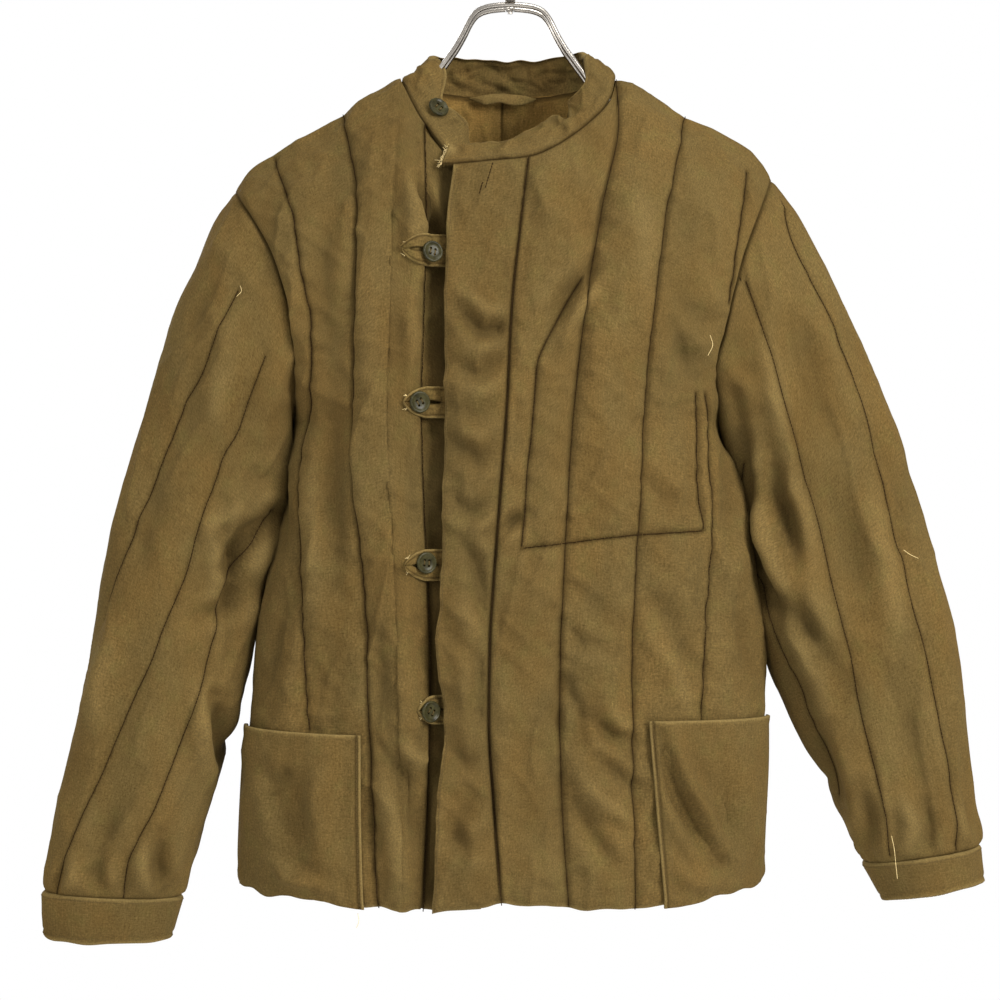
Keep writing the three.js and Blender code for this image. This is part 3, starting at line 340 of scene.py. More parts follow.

# Placed creases: the run as (x, z), how wide, and how high. Below zero is a trough.
FRONT_FOLDS = [
    ([(12, -500), (-2, -508), (-16, -518)], 6, -3.2),
    ([(66, -300), (50, -318), (34, -344)], 9, -3.0),
    ([(74, -306), (58, -326), (44, -352)], 9, 2.2),
    ([(-44, -330), (-24, -350), (0, -346)], 7, -2.8),
    ([(-40, -314), (-20, -332), (2, -330)], 8, 1.8),
    ([(-50, -376), (-26, -386), (-2, -366)], 7, -2.6),
    ([(-50, -408), (-30, -420), (-6, -410)], 8, -1.8),
    ([(-48, -440), (-26, -456), (-8, -446)], 8, -2.6),
    ([(-52, -486), (-34, -500), (-16, -492)], 7, -2.2),
    ([(-40, -520), (-28, -544), (-20, -580)], 7, -2.4),
    ([(-52, -692), (-38, -706), (-22, -702)], 8, -2.2),
    ([(-50, -760), (-36, -776), (-22, -770)], 8, -2.0),
    ([(-52, -560), (-34, -590), (-30, -640)], 12, 2.0),
    ([(-44, -600), (-24, -626), (-22, -680)], 8, -2.2),
    ([(-30, -720), (-44, -760), (-50, -810)], 9, -1.8),
    ([(58, -640), (74, -676), (96, -700)], 9, -2.2),
    ([(48, -700), (70, -736), (96, -760)], 10, 2.2),
    ([(54, -742), (72, -770), (92, -800)], 8, -2.0),
    ([(56, -560), (74, -590), (92, -600)], 11, -1.4),
    ([(112, -560), (132, -590), (150, -640)], 10, -1.8),
    ([(70, -670), (86, -684), (104, -691)], 6, -2.2),
    ([(72, -702), (90, -716), (106, -731)], 6, -2.4),
    ([(70, -744), (88, -760), (102, -772)], 7, -2.0),
    ([(46, -590), (60, -606), (84, -612)], 7, -2.0),
    ([(44, -640), (56, -662), (60, -690)], 6, -2.2),
    ([(108, -470), (128, -488), (154, -494)], 8, -1.8),
    ([(122, -600), (140, -632), (150, -668)], 8, 1.8),
    ([(176, -420), (184, -470), (186, -530)], 9, -2.4),
    ([(186, -560), (196, -600), (204, -650)], 10, -2.0),
    ([(128, -300), (150, -330), (176, -350)], 12, -2.0),
    ([(126, -330), (150, -372), (164, -400)], 10, -1.8),
    ([(96, -220), (110, -260), (112, -320)], 14, 1.6),
    ([(146, -210), (150, -260), (160, -300)], 14, -1.4),
    ([(-76, -218), (-68, -250), (-61, -276)], 5, -5.0),
    ([(-86, -220), (-80, -260), (-78, -300)], 8, 2.2),
    ([(-84, -320), (-80, -360), (-82, -392)], 8, 1.6),
    ([(-110, -250), (-116, -330), (-112, -420)], 12, 1.4),
    ([(-152, -230), (-158, -300), (-150, -380)], 12, -2.2),
    ([(-142, -400), (-150, -470), (-146, -560)], 13, -2.4),
    ([(-158, -430), (-164, -500), (-160, -590)], 10, 2.0),
    ([(-96, -700), (-84, -730), (-76, -770)], 9, -3.0),
    ([(-90, -690), (-76, -706), (-66, -700)], 7, 2.6),
    ([(-110, -720), (-96, -770), (-92, -815)], 9, 2.2),
    ([(-84, -440), (-80, -480), (-84, -524)], 9, -1.6),
    ([(-188, -560), (-196, -610), (-204, -660)], 9, -2.4),
    ([(-110, -600), (-104, -640), (-108, -690)], 9, -1.8),
    ([(-196, -470), (-190, -500), (-196, -540)], 9, -1.8),
]
BACK_FOLDS = [
    ([(-150, -240), (-110, -300), (-60, -330)], 16, -2.4),
    ([(150, -235), (120, -300), (70, -340)], 15, -2.2),
    ([(-40, -200), (-34, -300), (-44, -400)], 14, -1.8),
    ([(40, -210), (30, -320), (36, -430)], 15, 2.0),
    ([(-100, -420), (-106, -540), (-98, -640)], 15, -2.0),
    ([(94, -430), (90, -540), (98, -650)], 14, -2.4),
    ([(-164, -440), (-176, -540), (-172, -640)], 14, -2.6),
    ([(160, -450), (174, -560), (170, -660)], 13, -2.4),
    ([(-30, -480), (-20, -600), (-34, -720)], 15, 1.8),
    ([(26, -520), (36, -640), (22, -760)], 12, -2.0),
    ([(-120, -680), (-90, -720), (-60, -740)], 10, -1.8),
    ([(120, -690), (90, -740), (60, -770)], 11, 1.8),
]
SLEEVE_FOLDS = {
    "right": [
        ([(-206, -498), (-222, -520), (-238, -545)], 7, -5.0),
        ([(-214, -484), (-232, -500), (-252, -512)], 9, 2.4),
        ([(-238, -493), (-240, -520), (-236, -546)], 7, -3.2),
        ([(-226, -560), (-240, -580), (-262, -590)], 8, -3.4),
        ([(-213, -470), (-226, -500), (-233, -560), (-238, -620)], 7, -3.6),
        ([(-250, -655), (-248, -690), (-244, -722)], 7, -5.0),
        ([(-262, -640), (-262, -680), (-256, -716)], 9, 2.4),
        ([(-244, -300), (-262, -330), (-270, -370)], 13, -2.2),
        ([(-232, -370), (-246, -400), (-250, -430)], 12, 2.0),
        ([(-296, -470), (-310, -520), (-312, -560)], 12, -1.8),
        ([(-336, -600), (-346, -650), (-352, -700)], 12, 2.0),
        ([(-330, -740), (-340, -770), (-352, -800)], 9, -2.4),
        ([(-292, -770), (-296, -796), (-292, -818)], 7, -3.0),
        ([(-310, -780), (-312, -800), (-308, -820)], 7, 2.4),
        ([(-346, -790), (-348, -806), (-344, -820)], 6, -2.4),
        ([(-368, -790), (-366, -806), (-370, -820)], 6, 2.0),
    ],
    "left": [
        ([(189, -398), (200, -440), (211, -500), (225, -560), (240, -620)], 5, -3.0),
        ([(199, -392), (211, -440), (222, -500), (236, -560), (250, -612)], 7, 2.0),
        ([(212, -350), (222, -400), (228, -450)], 11, 2.0),
        ([(236, -330), (256, -380), (268, -430)], 13, -2.2),
        ([(214, -470), (232, -500), (240, -540)], 8, -3.8),
        ([(206, -420), (222, -470), (236, -530), (252, -600)], 8, -3.0),
        ([(216, -500), (238, -540), (250, -580)], 9, 2.2),
        ([(226, -560), (246, -590), (262, -620)], 8, -3.2),
        ([(238, -600), (258, -640), (270, -680)], 9, 2.4),
        ([(268, -470), (286, -520), (296, -580)], 13, -2.0),
        ([(304, -500), (318, -560), (330, -620)], 13, 1.8),
        ([(322, -640), (340, -690), (350, -740)], 11, -2.4),
        ([(256, -680), (270, -720), (284, -750)], 8, -2.8),
        ([(296, -730), (304, -756), (306, -786)], 7, -3.2),
        ([(330, -740), (336, -762), (334, -784)], 7, 2.6),
        ([(352, -744), (356, -764), (352, -782)], 6, -2.6),
        ([(376, -740), (378, -760), (382, -780)], 6, 2.0),
        ([(300, -430), (330, -470), (340, -520)], 12, -1.8),
    ],
}

# ------------------------------------------------------------------ curves


def mix(a, b, t):
    """The value a part t of the way from a to b."""
    return a + (b - a) * t


def ease(t):
    """0 to 1 with a soft start and a soft end."""
    c = np.clip(t, 0, 1)
    return c * c * (3 - 2 * c)


def through(xs, ys):
    """A smooth curve through the points that never swings past them."""
    order = np.argsort(xs)
    xs, ys = np.asarray(xs, float)[order], np.asarray(ys, float)[order]
    slope = np.diff(ys) / np.diff(xs)
    tangent = np.empty(len(xs))
    tangent[0], tangent[-1] = slope[0], slope[-1]
    product = slope[:-1] * slope[1:]
    total = np.where(product > 0, slope[:-1] + slope[1:], 1)
    tangent[1:-1] = np.where(product > 0, 2 * product / total, 0)

    def curve(at):
        x = np.clip(at, xs[0], xs[-1])
        i = np.clip(np.searchsorted(xs, x) - 1, 0, len(xs) - 2)
        span = xs[i + 1] - xs[i]
        t = (x - xs[i]) / span
        u = 1 - t
        ends = u * u * (1 + 2 * t) * ys[i] + t * t * (3 - 2 * t) * ys[i + 1]
        return ends + span * t * u * (u * tangent[i] - t * tangent[i + 1])

    return curve


def column(rows, key, name):
    """One column of a table, as a smooth curve of another."""
    return through(rows[key], rows[name])


def runs_along(points):
    """The length of a path from its start to each of its points."""
    return np.concatenate([[0], np.cumsum(np.linalg.norm(np.diff(points, axis=0), axis=1))])


def resample(points, step):
    """The same path with a point every step or so."""
    points = np.asarray(points, float)
    runs = runs_along(points)
    count = max(int(runs[-1] / step), 2)
    at = np.linspace(0, runs[-1], count + 1)
    return np.stack([np.interp(at, runs, points[:, k]) for k in range(points.shape[1])], axis=1)


def smooth_path(points, step):
    """A path through a few points, rounded at each of them."""
    points = np.asarray(points, float)
    runs = runs_along(points)
    at = np.linspace(0, runs[-1], max(int(runs[-1] / step), 2) + 1)
    return np.stack([through(runs, points[:, k])(at) for k in range(points.shape[1])], axis=1)


# ------------------------------------------------------------------ the form of the body

RIDGE_Z = column(RIDGE, "x", "z")
FALL_BY_ROOT = through(np.sqrt(FALL["drop"]), FALL["part"])
FULL = {face: column(BODY, "z", face) for face in ("front", "back")}


class Side:
    """One side of the body: its seams and its neck."""

    def __init__(self, name):
        arm = ARMHOLE[name]
        self.name = name
        self.body = column(BODY, "z", name)
        self.edge = {face: column(arm, "z", face) for face in ("front", "back")}
        self.part = {face: column(arm, "z", face + "_part") for face in ("front", "back")}
        self.tip_x, self.tip_z = arm["front"][-1], arm["z"][-1]
        self.neck = column(NECK[name], "x", "z")
        self.hem = HEM[name]
        self.underarm = (self.tip_z - UNDERARM_Z) / (self.tip_z - self.hem["side"])

    def reach(self, face, z):
        """How far out the cloth goes at a height."""
        return np.where(z > UNDERARM_Z, self.edge[face](z), self.body(z))


LEFT, RIGHT = Side("left"), Side("right")
SIDES = {"left": LEFT, "right": RIGHT}


def depth(face, x, z):
    """How far the cloth stands from the middle plane."""
    x, z = np.asarray(x, float), np.asarray(z, float)
    left = x > MID_X
    reach = np.where(left, LEFT.reach(face, z), RIGHT.reach(face, z))
    across = np.minimum(np.abs((x - MID_X) / (reach - MID_X)), 1)
    above = ease((z - UNDERARM_Z + 30) / 130)
    rounded = (1 - across ** mix(2.6, 3.6, above)) ** mix(1 / 2.6, 0.8, above)
    neck = np.maximum(0, 1 - (x / np.where(left, 91, 94)) ** 2) if face == "back" else 0
    drop = np.maximum(RIDGE_Z(x) - z + NECK_OPEN * neck, 0)
    full = FULL[face](z) * FALL_BY_ROOT(np.sqrt(drop))
    part = np.where(left, LEFT.part[face](z), RIGHT.part[face](z))
    return full * mix(np.where(z > UNDERARM_Z, part, 0), 1, rounded)


class Line:
    """A sewn line or edge from its start to the hem."""

    def __init__(self, top_x, top_z, hem_z, at):
        self.top_x, self.top_z, self.hem_z, self.at = top_x, top_z, hem_z, at

    def x(self, down):
        return self.at(mix(self.top_z, self.hem_z, down))


def sewn_line(rows, name, top_z, hem_z):
    """A line of the cut from its top edge down to the hem."""
    keep = rows["z"] < top_z - 20
    z = np.concatenate([[top_z], rows["z"][keep]])
    x = np.concatenate([[rows[name][0]], rows[name][keep]])
    return Line(rows[name][0], top_z, hem_z, through(z, x))


def side_line(side, face):
    """The side seam with the armhole above it."""
    return Line(side.tip_x, side.tip_z, side.hem["side"], lambda z: side.reach(face, z))


def front_lines(side):
    """A front's lines, from its free edge to its side seam."""
    lines = []
    for name in ("edge", "band", "neck", "shoulder"):
        top_x = LINES[side.name][name][0]
        top_z = side.neck(top_x) if abs(top_x) < 90 else RIDGE_Z(top_x)
        lines.append(sewn_line(LINES[side.name], name, float(top_z), side.hem[name]))
    return [*lines, side_line(side, "front")]


def back_lines():
    """The back's lines, from the wearer's right side seam to the left one."""
    names = ("right", "right_neck", "left_neck", "left")
    rows = LINES["back"]
    middle = [sewn_line(rows, n, float(RIDGE_Z(rows[n][0])), HEM["back"]) for n in names]
    return [side_line(RIGHT, "back"), *middle, side_line(LEFT, "back")]


FRONT_LINES = {"left": front_lines(LEFT), "right": front_lines(RIGHT)}
BACK_LINES = back_lines()
OVER_EDGE = FRONT_LINES["left"][0]


def lap_back(x, z):
    """How far the right front steps back where the over band laps it."""
    start = OVER_EDGE.at(np.minimum(z, OVER_EDGE.top_z)) - 5 - LAP_RAMP
    return LAP * ease((x - start) / LAP_RAMP)


def puff_at(across, down):
    """How far the wadding swells between two sewn lines."""
    swell = np.sin(np.pi * np.clip(across, 0, 1)) ** 0.6
    return PUFF * swell * ease(down * 9) * ease((1 - down) * 12 + 0.2)


def front_point(side, place, down):
    """A point of a front. place counts sewn lines from the free edge; down is 1 at the hem."""
    place, down = np.broadcast_arrays(np.asarray(place, float), np.asarray(down, float))
    first = np.clip(np.floor(place), 0, 3).astype(int)
    part = place - first
    across = np.where(first == 1, 1 - (1 - np.minimum(part, 1)) ** PINCH, part)
    across = np.where(first == 3, np.sin(part * np.pi / 2), across)
    out = np.empty(place.shape + (3,))
    lines = FRONT_LINES[side.name]
    for k in range(4):
        here = first == k
        a, b, s, d = lines[k], lines[k + 1], across[here], down[here]
        top_x = mix(a.top_x, b.top_x, s)
        top_z = side.neck(top_x) if k < 2 else RIDGE_Z(top_x)
        z = mix(top_z, mix(a.hem_z, b.hem_z, s), d)
        x = mix(a.x(d), b.x(d), s)
        under = lap_back(x, z) if side is RIGHT else 0
        flat = side is RIGHT and k == 0
        puff = 0 if flat else puff_at(part[here] if k == 3 else s, d) * (0.6 if k == 3 else 1)
        out[here] = np.stack([x, under - depth("front", x, z) - puff, z], axis=-1)
    return out


def back_point(place, down):
    """A point of the back. place counts sewn lines from the wearer's right side seam."""
    place, down = np.broadcast_arrays(np.asarray(place, float), np.asarray(down, float))
    first = np.clip(np.floor(place), 0, 4).astype(int)
    part = place - first
    across = np.where(first == 2, 0.5 - 0.5 * np.cos(part * np.pi), part)
    across = np.where(first == 0, 1 - np.sin((1 - part) * np.pi / 2), across)
    across = np.where(first == 4, np.sin(part * np.pi / 2), across)
    out = np.empty(place.shape + (3,))
    for k in range(5):
        here = first == k
        a, b, s, d = BACK_LINES[k], BACK_LINES[k + 1], across[here], down[here]
        top_x = mix(a.top_x, b.top_x, s)
        scoop = np.maximum(0, 1 - np.abs((top_x - MID_X) / 88) ** 3)
        top_z = RIDGE_Z(top_x)
        if k == 2:
            top_z = mix(top_z, NECK_BACK_Z, scoop)
        z = mix(top_z, mix(a.hem_z, b.hem_z, s), d)
        x = mix(a.x(d), b.x(d), s)
        puff = 0.7 * puff_at((s * 3) % 1 if k == 2 else part[here], d)
        out[here] = np.stack([x, depth("back", x, z) + puff, z], axis=-1)
    return out


def front_at(side, place, z):
    """A point of a front at a height instead of a part of the way down."""
    top = front_point(side, place, 0.0)[..., 2]
    hem = front_point(side, place, 1.0)[..., 2]
    return front_point(side, place, (top - z) / (top - hem))


# ------------------------------------------------------------------ the form of the sleeves


def armhole_point(side, w):
    """The armhole seam: w runs 0 to 10 down the front and on to 20 up the back."""
    w = np.asarray(w, float)
    k = np.where(w <= 10, w, 20 - w)
    down = side.underarm * (k / 10) ** ROW_GRADING
    edge = 0.0 if side is RIGHT else 5.0
    front, back = front_point(side, 4.0, down), back_point(edge, down)
    return np.where((w <= 10)[..., None], front, back)


def section_point(row, turn):
    """A point round one section. turn is 0 at the outer edge and pi at the inner one."""
    power = 2 / 2.25
    along, out = np.cos(turn), np.sin(turn)
    part = 0.5 - 0.5 * np.sign(along) * np.abs(along) ** power
    y = row["mid_y"] - np.sign(out) * np.abs(out) ** power * row["half"]
    return np.stack([mix(row["out_x"], row["in_x"], part), y + 0 * part,
                     mix(row["out_z"], row["in_z"], part)], axis=-1)


def sleeve_turn(side, w, even):
    """The turn round a section for a place on the armhole seam."""
    half = armhole_point(side, np.arange(11.0))
    runs = runs_along(half)
    k = np.where(w <= 10, w, 20 - w)
    turn = np.pi * mix(np.interp(k, np.arange(11), runs / runs[-1]), k / 10, even)
    return np.where(w <= 10, turn, -turn)


def sleeve_point(side, w, s):
    """A point of a sleeve: w round it, and s from 0 at the armhole to 13 at the cuff."""
    w, s = np.broadcast_arrays(np.asarray(w, float), np.asarray(s, float))
    rows = SLEEVE[side.name]
    row = {name: through(np.arange(14), values)(s) for name, values in rows.items()}
    point = section_point(row, sleeve_turn(side, w, np.minimum(s / 5, 1)))
    head = section_point({k: v[0] for k, v in rows.items()}, sleeve_turn(side, w, 0))
    kept = np.interp(s, np.arange(6), ARMHOLE_KEPT)
    return point + (armhole_point(side, w) - head) * kept[..., None]


def cuff_point(side, w, v):
    """A point of a cuff: v is 0 at its top and 1 at its foot."""
    top = sleeve_point(side, w, 13.0)
    turn = np.where(w <= 10, w, w - 20) * np.pi / 10
    foot = section_point(CUFF_END[side.name], turn)
    return mix(top, foot, np.asarray(v, float)[..., None])


# ------------------------------------------------------------------ folds and quilting


def waves(points, size, seed, count=12):
    """Soft random swells about size apart, from about -1 to 1."""
    rng = np.random.default_rng(seed)
    way = rng.normal(size=(count, 3))
    way /= np.linalg.norm(way, axis=1)[:, None]
    way *= (2 * np.pi / size) * rng.uniform(0.6, 1.5, (count, 1))
    phase = rng.uniform(0, 2 * np.pi, count)
    total = np.zeros(points.shape[:-1])
    for k in range(count):
        total += np.sin(points @ way[k] + phase[k])
    return total / math.sqrt(count)


def creases(points, size, seed):
    """Sharper ridges with soft hollows between."""
    return (1 - np.minimum(np.abs(waves(points, size, seed)), 1)) ** 2 - 0.3


def along_path(x, z, path):
    """The distance to a path, and the part of its length at the nearest point."""
    path = np.asarray(path, float)
    runs = runs_along(path)
    best = np.full(x.shape, 1e9)
    part = np.zeros(x.shape)
    for k, length in enumerate(np.diff(runs)):
        (ax, az), (bx, bz) = path[k], path[k + 1]
        t = np.clip(((x - ax) * (bx - ax) + (z - az) * (bz - az)) / length ** 2, 0, 1)
        away = np.hypot(x - mix(ax, bx, t), z - mix(az, bz, t))
        nearer = away < best
        part = np.where(nearer, (runs[k] + t * length) / runs[-1], part)
        best = np.minimum(best, away)
    return best, part


def slanted(points, degrees, part):
    """The points turned in the front plane, and drawn together along their own length."""
    turn = math.radians(degrees)
    x, y, z = points[..., 0], points[..., 1], points[..., 2]
    across = x * math.cos(turn) + z * math.sin(turn)
    along = z * math.cos(turn) - x * math.sin(turn)
    return np.stack([across, 0.7 * y, part * along], axis=-1)


def placed_folds(points, folds):
    """The height of the listed creases, with low banks beside them."""
    x, z = points[..., 0], points[..., 2]
    total = np.zeros(x.shape)
    for path, width, height in folds:
        away, part = along_path(x, z, path)
        taper = np.sin(np.pi * np.clip(part, 0.06, 0.94)) ** 0.7
        beside = np.exp(-(((away - 1.9 * width) / width) ** 2))
        total += height * taper * (np.exp(-((away / (0.9 * width)) ** 2)) - 0.4 * beside)
    return total


def outward(points, closed, away_from=None, facing=None):
    """Unit normals of a grid, and whether its cells must be turned over to face out."""
    across = (np.roll(points, -1, 1) - np.roll(points, 1, 1)) if closed else np.gradient(
        points, axis=1)
    normal = np.cross(across, np.gradient(points, axis=0))
    normal /= np.maximum(np.linalg.norm(normal, axis=-1, keepdims=True), 1e-9)
    for axis in (0, 1, 0, 1):
        before, after = np.roll(normal, 1, axis), np.roll(normal, -1, axis)
        if not (closed and axis == 1):
            edge = [slice(None)] * 2
            for target, end in ((before, 0), (after, -1)):
                edge[axis] = end
                target[tuple(edge)] = normal[tuple(edge)]
        normal = before + 2 * normal + after
        normal /= np.maximum(np.linalg.norm(normal, axis=-1, keepdims=True), 1e-9)
    guide = points - away_from if facing is None else np.broadcast_to(facing, points.shape)
    flip = np.sum(normal * guide) < 0
    return (-normal, True) if flip else (normal, False)


def surface_tree(points, closed):
    """A grid's surface, to cast rays at and to lay paths on."""
    ids = np.arange(points[..., 0].size).reshape(points.shape[:2])
    faces = quads(wrapped(ids) if closed else ids, False)
    return BVHTree.FromPolygons(points.reshape(-1, 3).tolist(), faces)


def cast(tree, path, face):
    """A path of (x, z) laid on a surface, seen from the front or the back."""
    sign = -1 if face == "front" else 1
    laid = []
    for x, z in smooth_path(path, 2.0):
        hit = tree.ray_cast(Vector((x, sign * FAR, z)), Vector((0, -sign, 0)))[0]
        if hit is not None and abs(hit.y) < 150:
            laid.append(hit)
    return np.array(laid) if len(laid) > 2 else None


def settle(tree, path, lift):
    """A path moved onto the nearest cloth, and lifted off it a little."""
    laid = []
    for p in path:
        spot, normal, _, _ = tree.find_nearest(Vector(p))
        laid.append(spot + normal * lift)
    return rounded(laid)


def rounded(path):
    """A path with its small corners worn off."""
    path = np.array(path)
    for _ in range(2):
        path[1:-1] = (path[:-2] + 2 * path[1:-1] + path[2:]) / 4
    return path


class Skin:
    """A finished face, with the plain form under it that tells which way is out."""

    def __init__(self, plain, normal, outer, closed):
        self.spots, self.normals = plain.reshape(-1, 3), normal.reshape(-1, 3)
        self.near = kdtree.KDTree(len(self.spots))
        for k, spot in enumerate(self.spots):
            self.near.insert(spot, k)
        self.near.balance()
        self.done = surface_tree(outer, closed)

    def lay(self, path, lift):
        """A path of the plain form, moved straight out or in onto the finished face."""
        laid = []
        for p in path:
            spot, normal = Vector(p), Vector(self.normals[self.near.find(p)[1]])
            hit = self.done.ray_cast(spot + normal * LAY_REACH, -normal, 2 * LAY_REACH)[0]
            laid.append((spot if hit is None else hit) + normal * lift)
        return rounded(laid)


def distance_to(points, paths):
    """How far every point of a grid is from the nearest path."""
    if not paths:
        return np.full(points.shape[:2], 1e3)
    dense = np.concatenate([resample(path, 1.2) for path in paths])
    tree = kdtree.KDTree(len(dense))
    for k, p in enumerate(dense):
        tree.insert(p, k)
    tree.balance()
    away = [tree.find(p)[2] for p in points.reshape(-1, 3)]
    return np.array(away).reshape(points.shape[:2])


# ------------------------------------------------------------------ meshes


def spaced(start, stop, length, step, ends=(0, 0)):
    """Even steps, with a few short ones at an end that is rounded over."""
    count = max(int(round(length / step)), 3)
    t = np.linspace(0, 1, count + 1)
    extra = np.array([0.5, 1.3, 2.3]) / length
    if ends[0]:
        t = np.concatenate([t, extra])
    if ends[1]:
        t = np.concatenate([t, 1 - extra])
    return mix(start, stop, np.unique(np.round(t, 6)))


def edge_distance(points, axis, end):
    """How far every point is from one edge of its grid, along the cloth."""
    step = np.linalg.norm(np.diff(points, axis=axis), axis=-1)
    zero = np.zeros_like(np.take(step, [0], axis=axis))
    if end == 0:
        return np.concatenate([zero, np.cumsum(step, axis=axis)], axis=axis)
    back = np.flip(np.cumsum(np.flip(step, axis), axis=axis), axis)
    return np.concatenate([back, zero], axis=axis)


def rolled(distance, radius):
    """How far a rounded edge has dropped at a distance from it."""
    inside = np.clip(radius - distance, 0, radius)
    return radius - np.sqrt(radius ** 2 - inside ** 2)


def new_object(name, verts, faces, materials, smooth=True):
    """A mesh object from points in millimetres."""
    mesh = bpy.data.meshes.new(name)
    mesh.from_pydata((np.asarray(verts) * MM).tolist(), [], faces)
    mesh.update()
    for paint in materials:
        mesh.materials.append(paint)
    obj = bpy.data.objects.new(name, mesh)
    bpy.context.scene.collection.objects.link(obj)
    if smooth:
        mesh.polygons.foreach_set("use_smooth", [True] * len(mesh.polygons))
    return obj


def cloth_lengths(points):
    """The cloth's own coordinates in metres: u across and v down."""
    u = edge_distance(points, 1, 0)
    v = edge_distance(points, 0, 0)
    u = np.broadcast_to(u.mean(axis=0), u.shape)
    v = np.broadcast_to(v.mean(axis=1)[:, None], v.shape)
    return u * MM, v * MM


def quads(ids, turned):
    """The four-sided faces of a grid of vertex numbers."""
    corners = np.stack([ids[:-1, :-1], ids[:-1, 1:], ids[1:, 1:], ids[1:, :-1]], axis=-1)
    return (corners[..., ::-1] if turned else corners).reshape(-1, 4).tolist()


def wrapped(ids):
    """A grid of vertex numbers with its first column again at the end."""
    return np.concatenate([ids, ids[:, :1]], axis=1)


def rim(fine, coarse, picks, turned):
    """Faces between one edge of the outer grid and the same edge of the coarser inner one."""
    faces = []
    for k in range(len(picks) - 1):
        run = fine[picks[k]:picks[k + 1] + 1].tolist()
        face = [*run, int(coarse[k + 1]), int(coarse[k])]
        faces.append(face[::-1] if turned else face)
    return faces


def map_cloth(mesh, uv, around):
    """The cloth's own coordinates as a UV map, carried on where a tube meets itself."""
    corner = np.empty(len(mesh.loops), int)
    mesh.loops.foreach_get("vertex_index", corner)
    spread = uv[corner]
    if around:
        total = np.empty(len(mesh.polygons), int)
        mesh.polygons.foreach_get("loop_total", total)
        owner = np.repeat(np.arange(len(total)), total)
        most = np.zeros(len(total))
        np.maximum.at(most, owner, spread[:, 0])
        spread[most[owner] - spread[:, 0] > around / 2, 0] += around
    layer = mesh.uv_layers.new(name="cloth")
    layer.data.foreach_set("uv", spread.ravel())


def shell(name, outer, inner, flip, closed, materials, marks, inner_step=3):
    """A closed wall: a fine outer grid, a coarser inner one, and a rim between them.

    marks are values for every outer point, kept as attributes for the materials."""
    rows, cols = outer.shape[:2]
    pick_rows = sorted({*range(0, rows, inner_step), rows - 1})
    pick_cols = sorted({*range(0, cols, inner_step)} | (set() if closed else {cols - 1}))
    picked = np.ix_(pick_rows, pick_cols)
    inside = inner[picked]
    verts = np.concatenate([outer.reshape(-1, 3), inside.reshape(-1, 3)])
    ids = np.arange(rows * cols).reshape(rows, cols)
    inner_ids = rows * cols + np.arange(inside[..., 0].size).reshape(inside.shape[:2])
    if closed:
        ids, inner_ids, pick_cols = wrapped(ids), wrapped(inner_ids), [*pick_cols, cols]
    outside, lining = quads(ids, flip), quads(inner_ids, not flip)
    rims = rim(ids[0], inner_ids[0], pick_cols, not flip)
    rims += rim(ids[-1], inner_ids[-1], pick_cols, flip)
    if not closed:
        rims += rim(ids[:, 0], inner_ids[:, 0], pick_rows, flip)
        rims += rim(ids[:, -1], inner_ids[:, -1], pick_rows, not flip)
    obj = new_object(name, verts, outside + lining + rims, materials)
    paint = np.repeat([0, len(materials) - 1, 0], [len(outside), len(lining), len(rims)])
    obj.data.polygons.foreach_set("material_index", paint)
    uv = np.stack(cloth_lengths(outer), axis=-1)
    gap = np.linalg.norm(outer[:, 0] - outer[:, -1], axis=-1).mean() * MM
    around = float(uv[..., 0].max() + gap) if closed else 0.0
    map_cloth(obj.data, np.concatenate([uv.reshape(-1, 2), uv[picked].reshape(-1, 2)]), around)
    for mark, values in marks.items():
        full = np.zeros(len(verts))
        full[:rows * cols] = np.clip(values, 0, 1).ravel()
        attribute = obj.data.attributes.new(mark, "FLOAT", "POINT")
        attribute.data.foreach_set("value", full)
    return obj


def tube(name, path, radius, sides, loop, paint):
    """A round bar along a path, closed on itself or with flat ends."""
    path = np.asarray(path, float)
    count = len(path)
    side = np.eye(3)[np.argmin(np.abs(path[1] - path[0]))]
    verts = []
    for k in range(count):
        before = path[k - 1] if loop or k else path[0]
        after = path[(k + 1) % count] if loop else path[min(k + 1, count - 1)]
        along = (after - before) / np.linalg.norm(after - before)
        side = side - along * side.dot(along)
        side /= np.linalg.norm(side)
        other = np.cross(along, side)
        for i in range(sides):
            turn = 2 * math.pi * i / sides
            verts.append(path[k] + radius * (side * math.cos(turn) + other * math.sin(turn)))
    rings = wrapped(np.arange(count * sides).reshape(count, sides))
    if loop:
        return new_object(name, verts, quads(np.concatenate([rings, rings[:1]]), False), [paint])
    ends = [rings[0, :-1][::-1].tolist(), rings[-1, :-1].tolist()]
    return new_object(name, verts, quads(rings, False) + ends, [paint])


def baked(obj, name):
    """The object with its modifiers worked in, as a plain mesh."""
    graph = bpy.context.evaluated_depsgraph_get()
    graph.update()
    mesh = bpy.data.meshes.new_from_object(obj.evaluated_get(graph))
    mesh.name = name
    new = bpy.data.objects.new(name, mesh)
    bpy.context.scene.collection.objects.link(new)
    bpy.data.objects.remove(obj)
    return new


def joined(name, objects):
    """Several objects as one, each already in its place."""
    bpy.ops.object.select_all(action="DESELECT")
    for obj in objects:
        obj.select_set(True)
    bpy.context.view_layer.objects.active = objects[0]
    bpy.ops.object.join()
    objects[0].name = name
    objects[0].data.name = name
    return objects[0]


def piece(obj, slot, *nodes):
    """Puts a finished piece in the place of its CAD nodes."""
    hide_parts(*nodes)
    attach(obj, "root")


# ------------------------------------------------------------------ materials


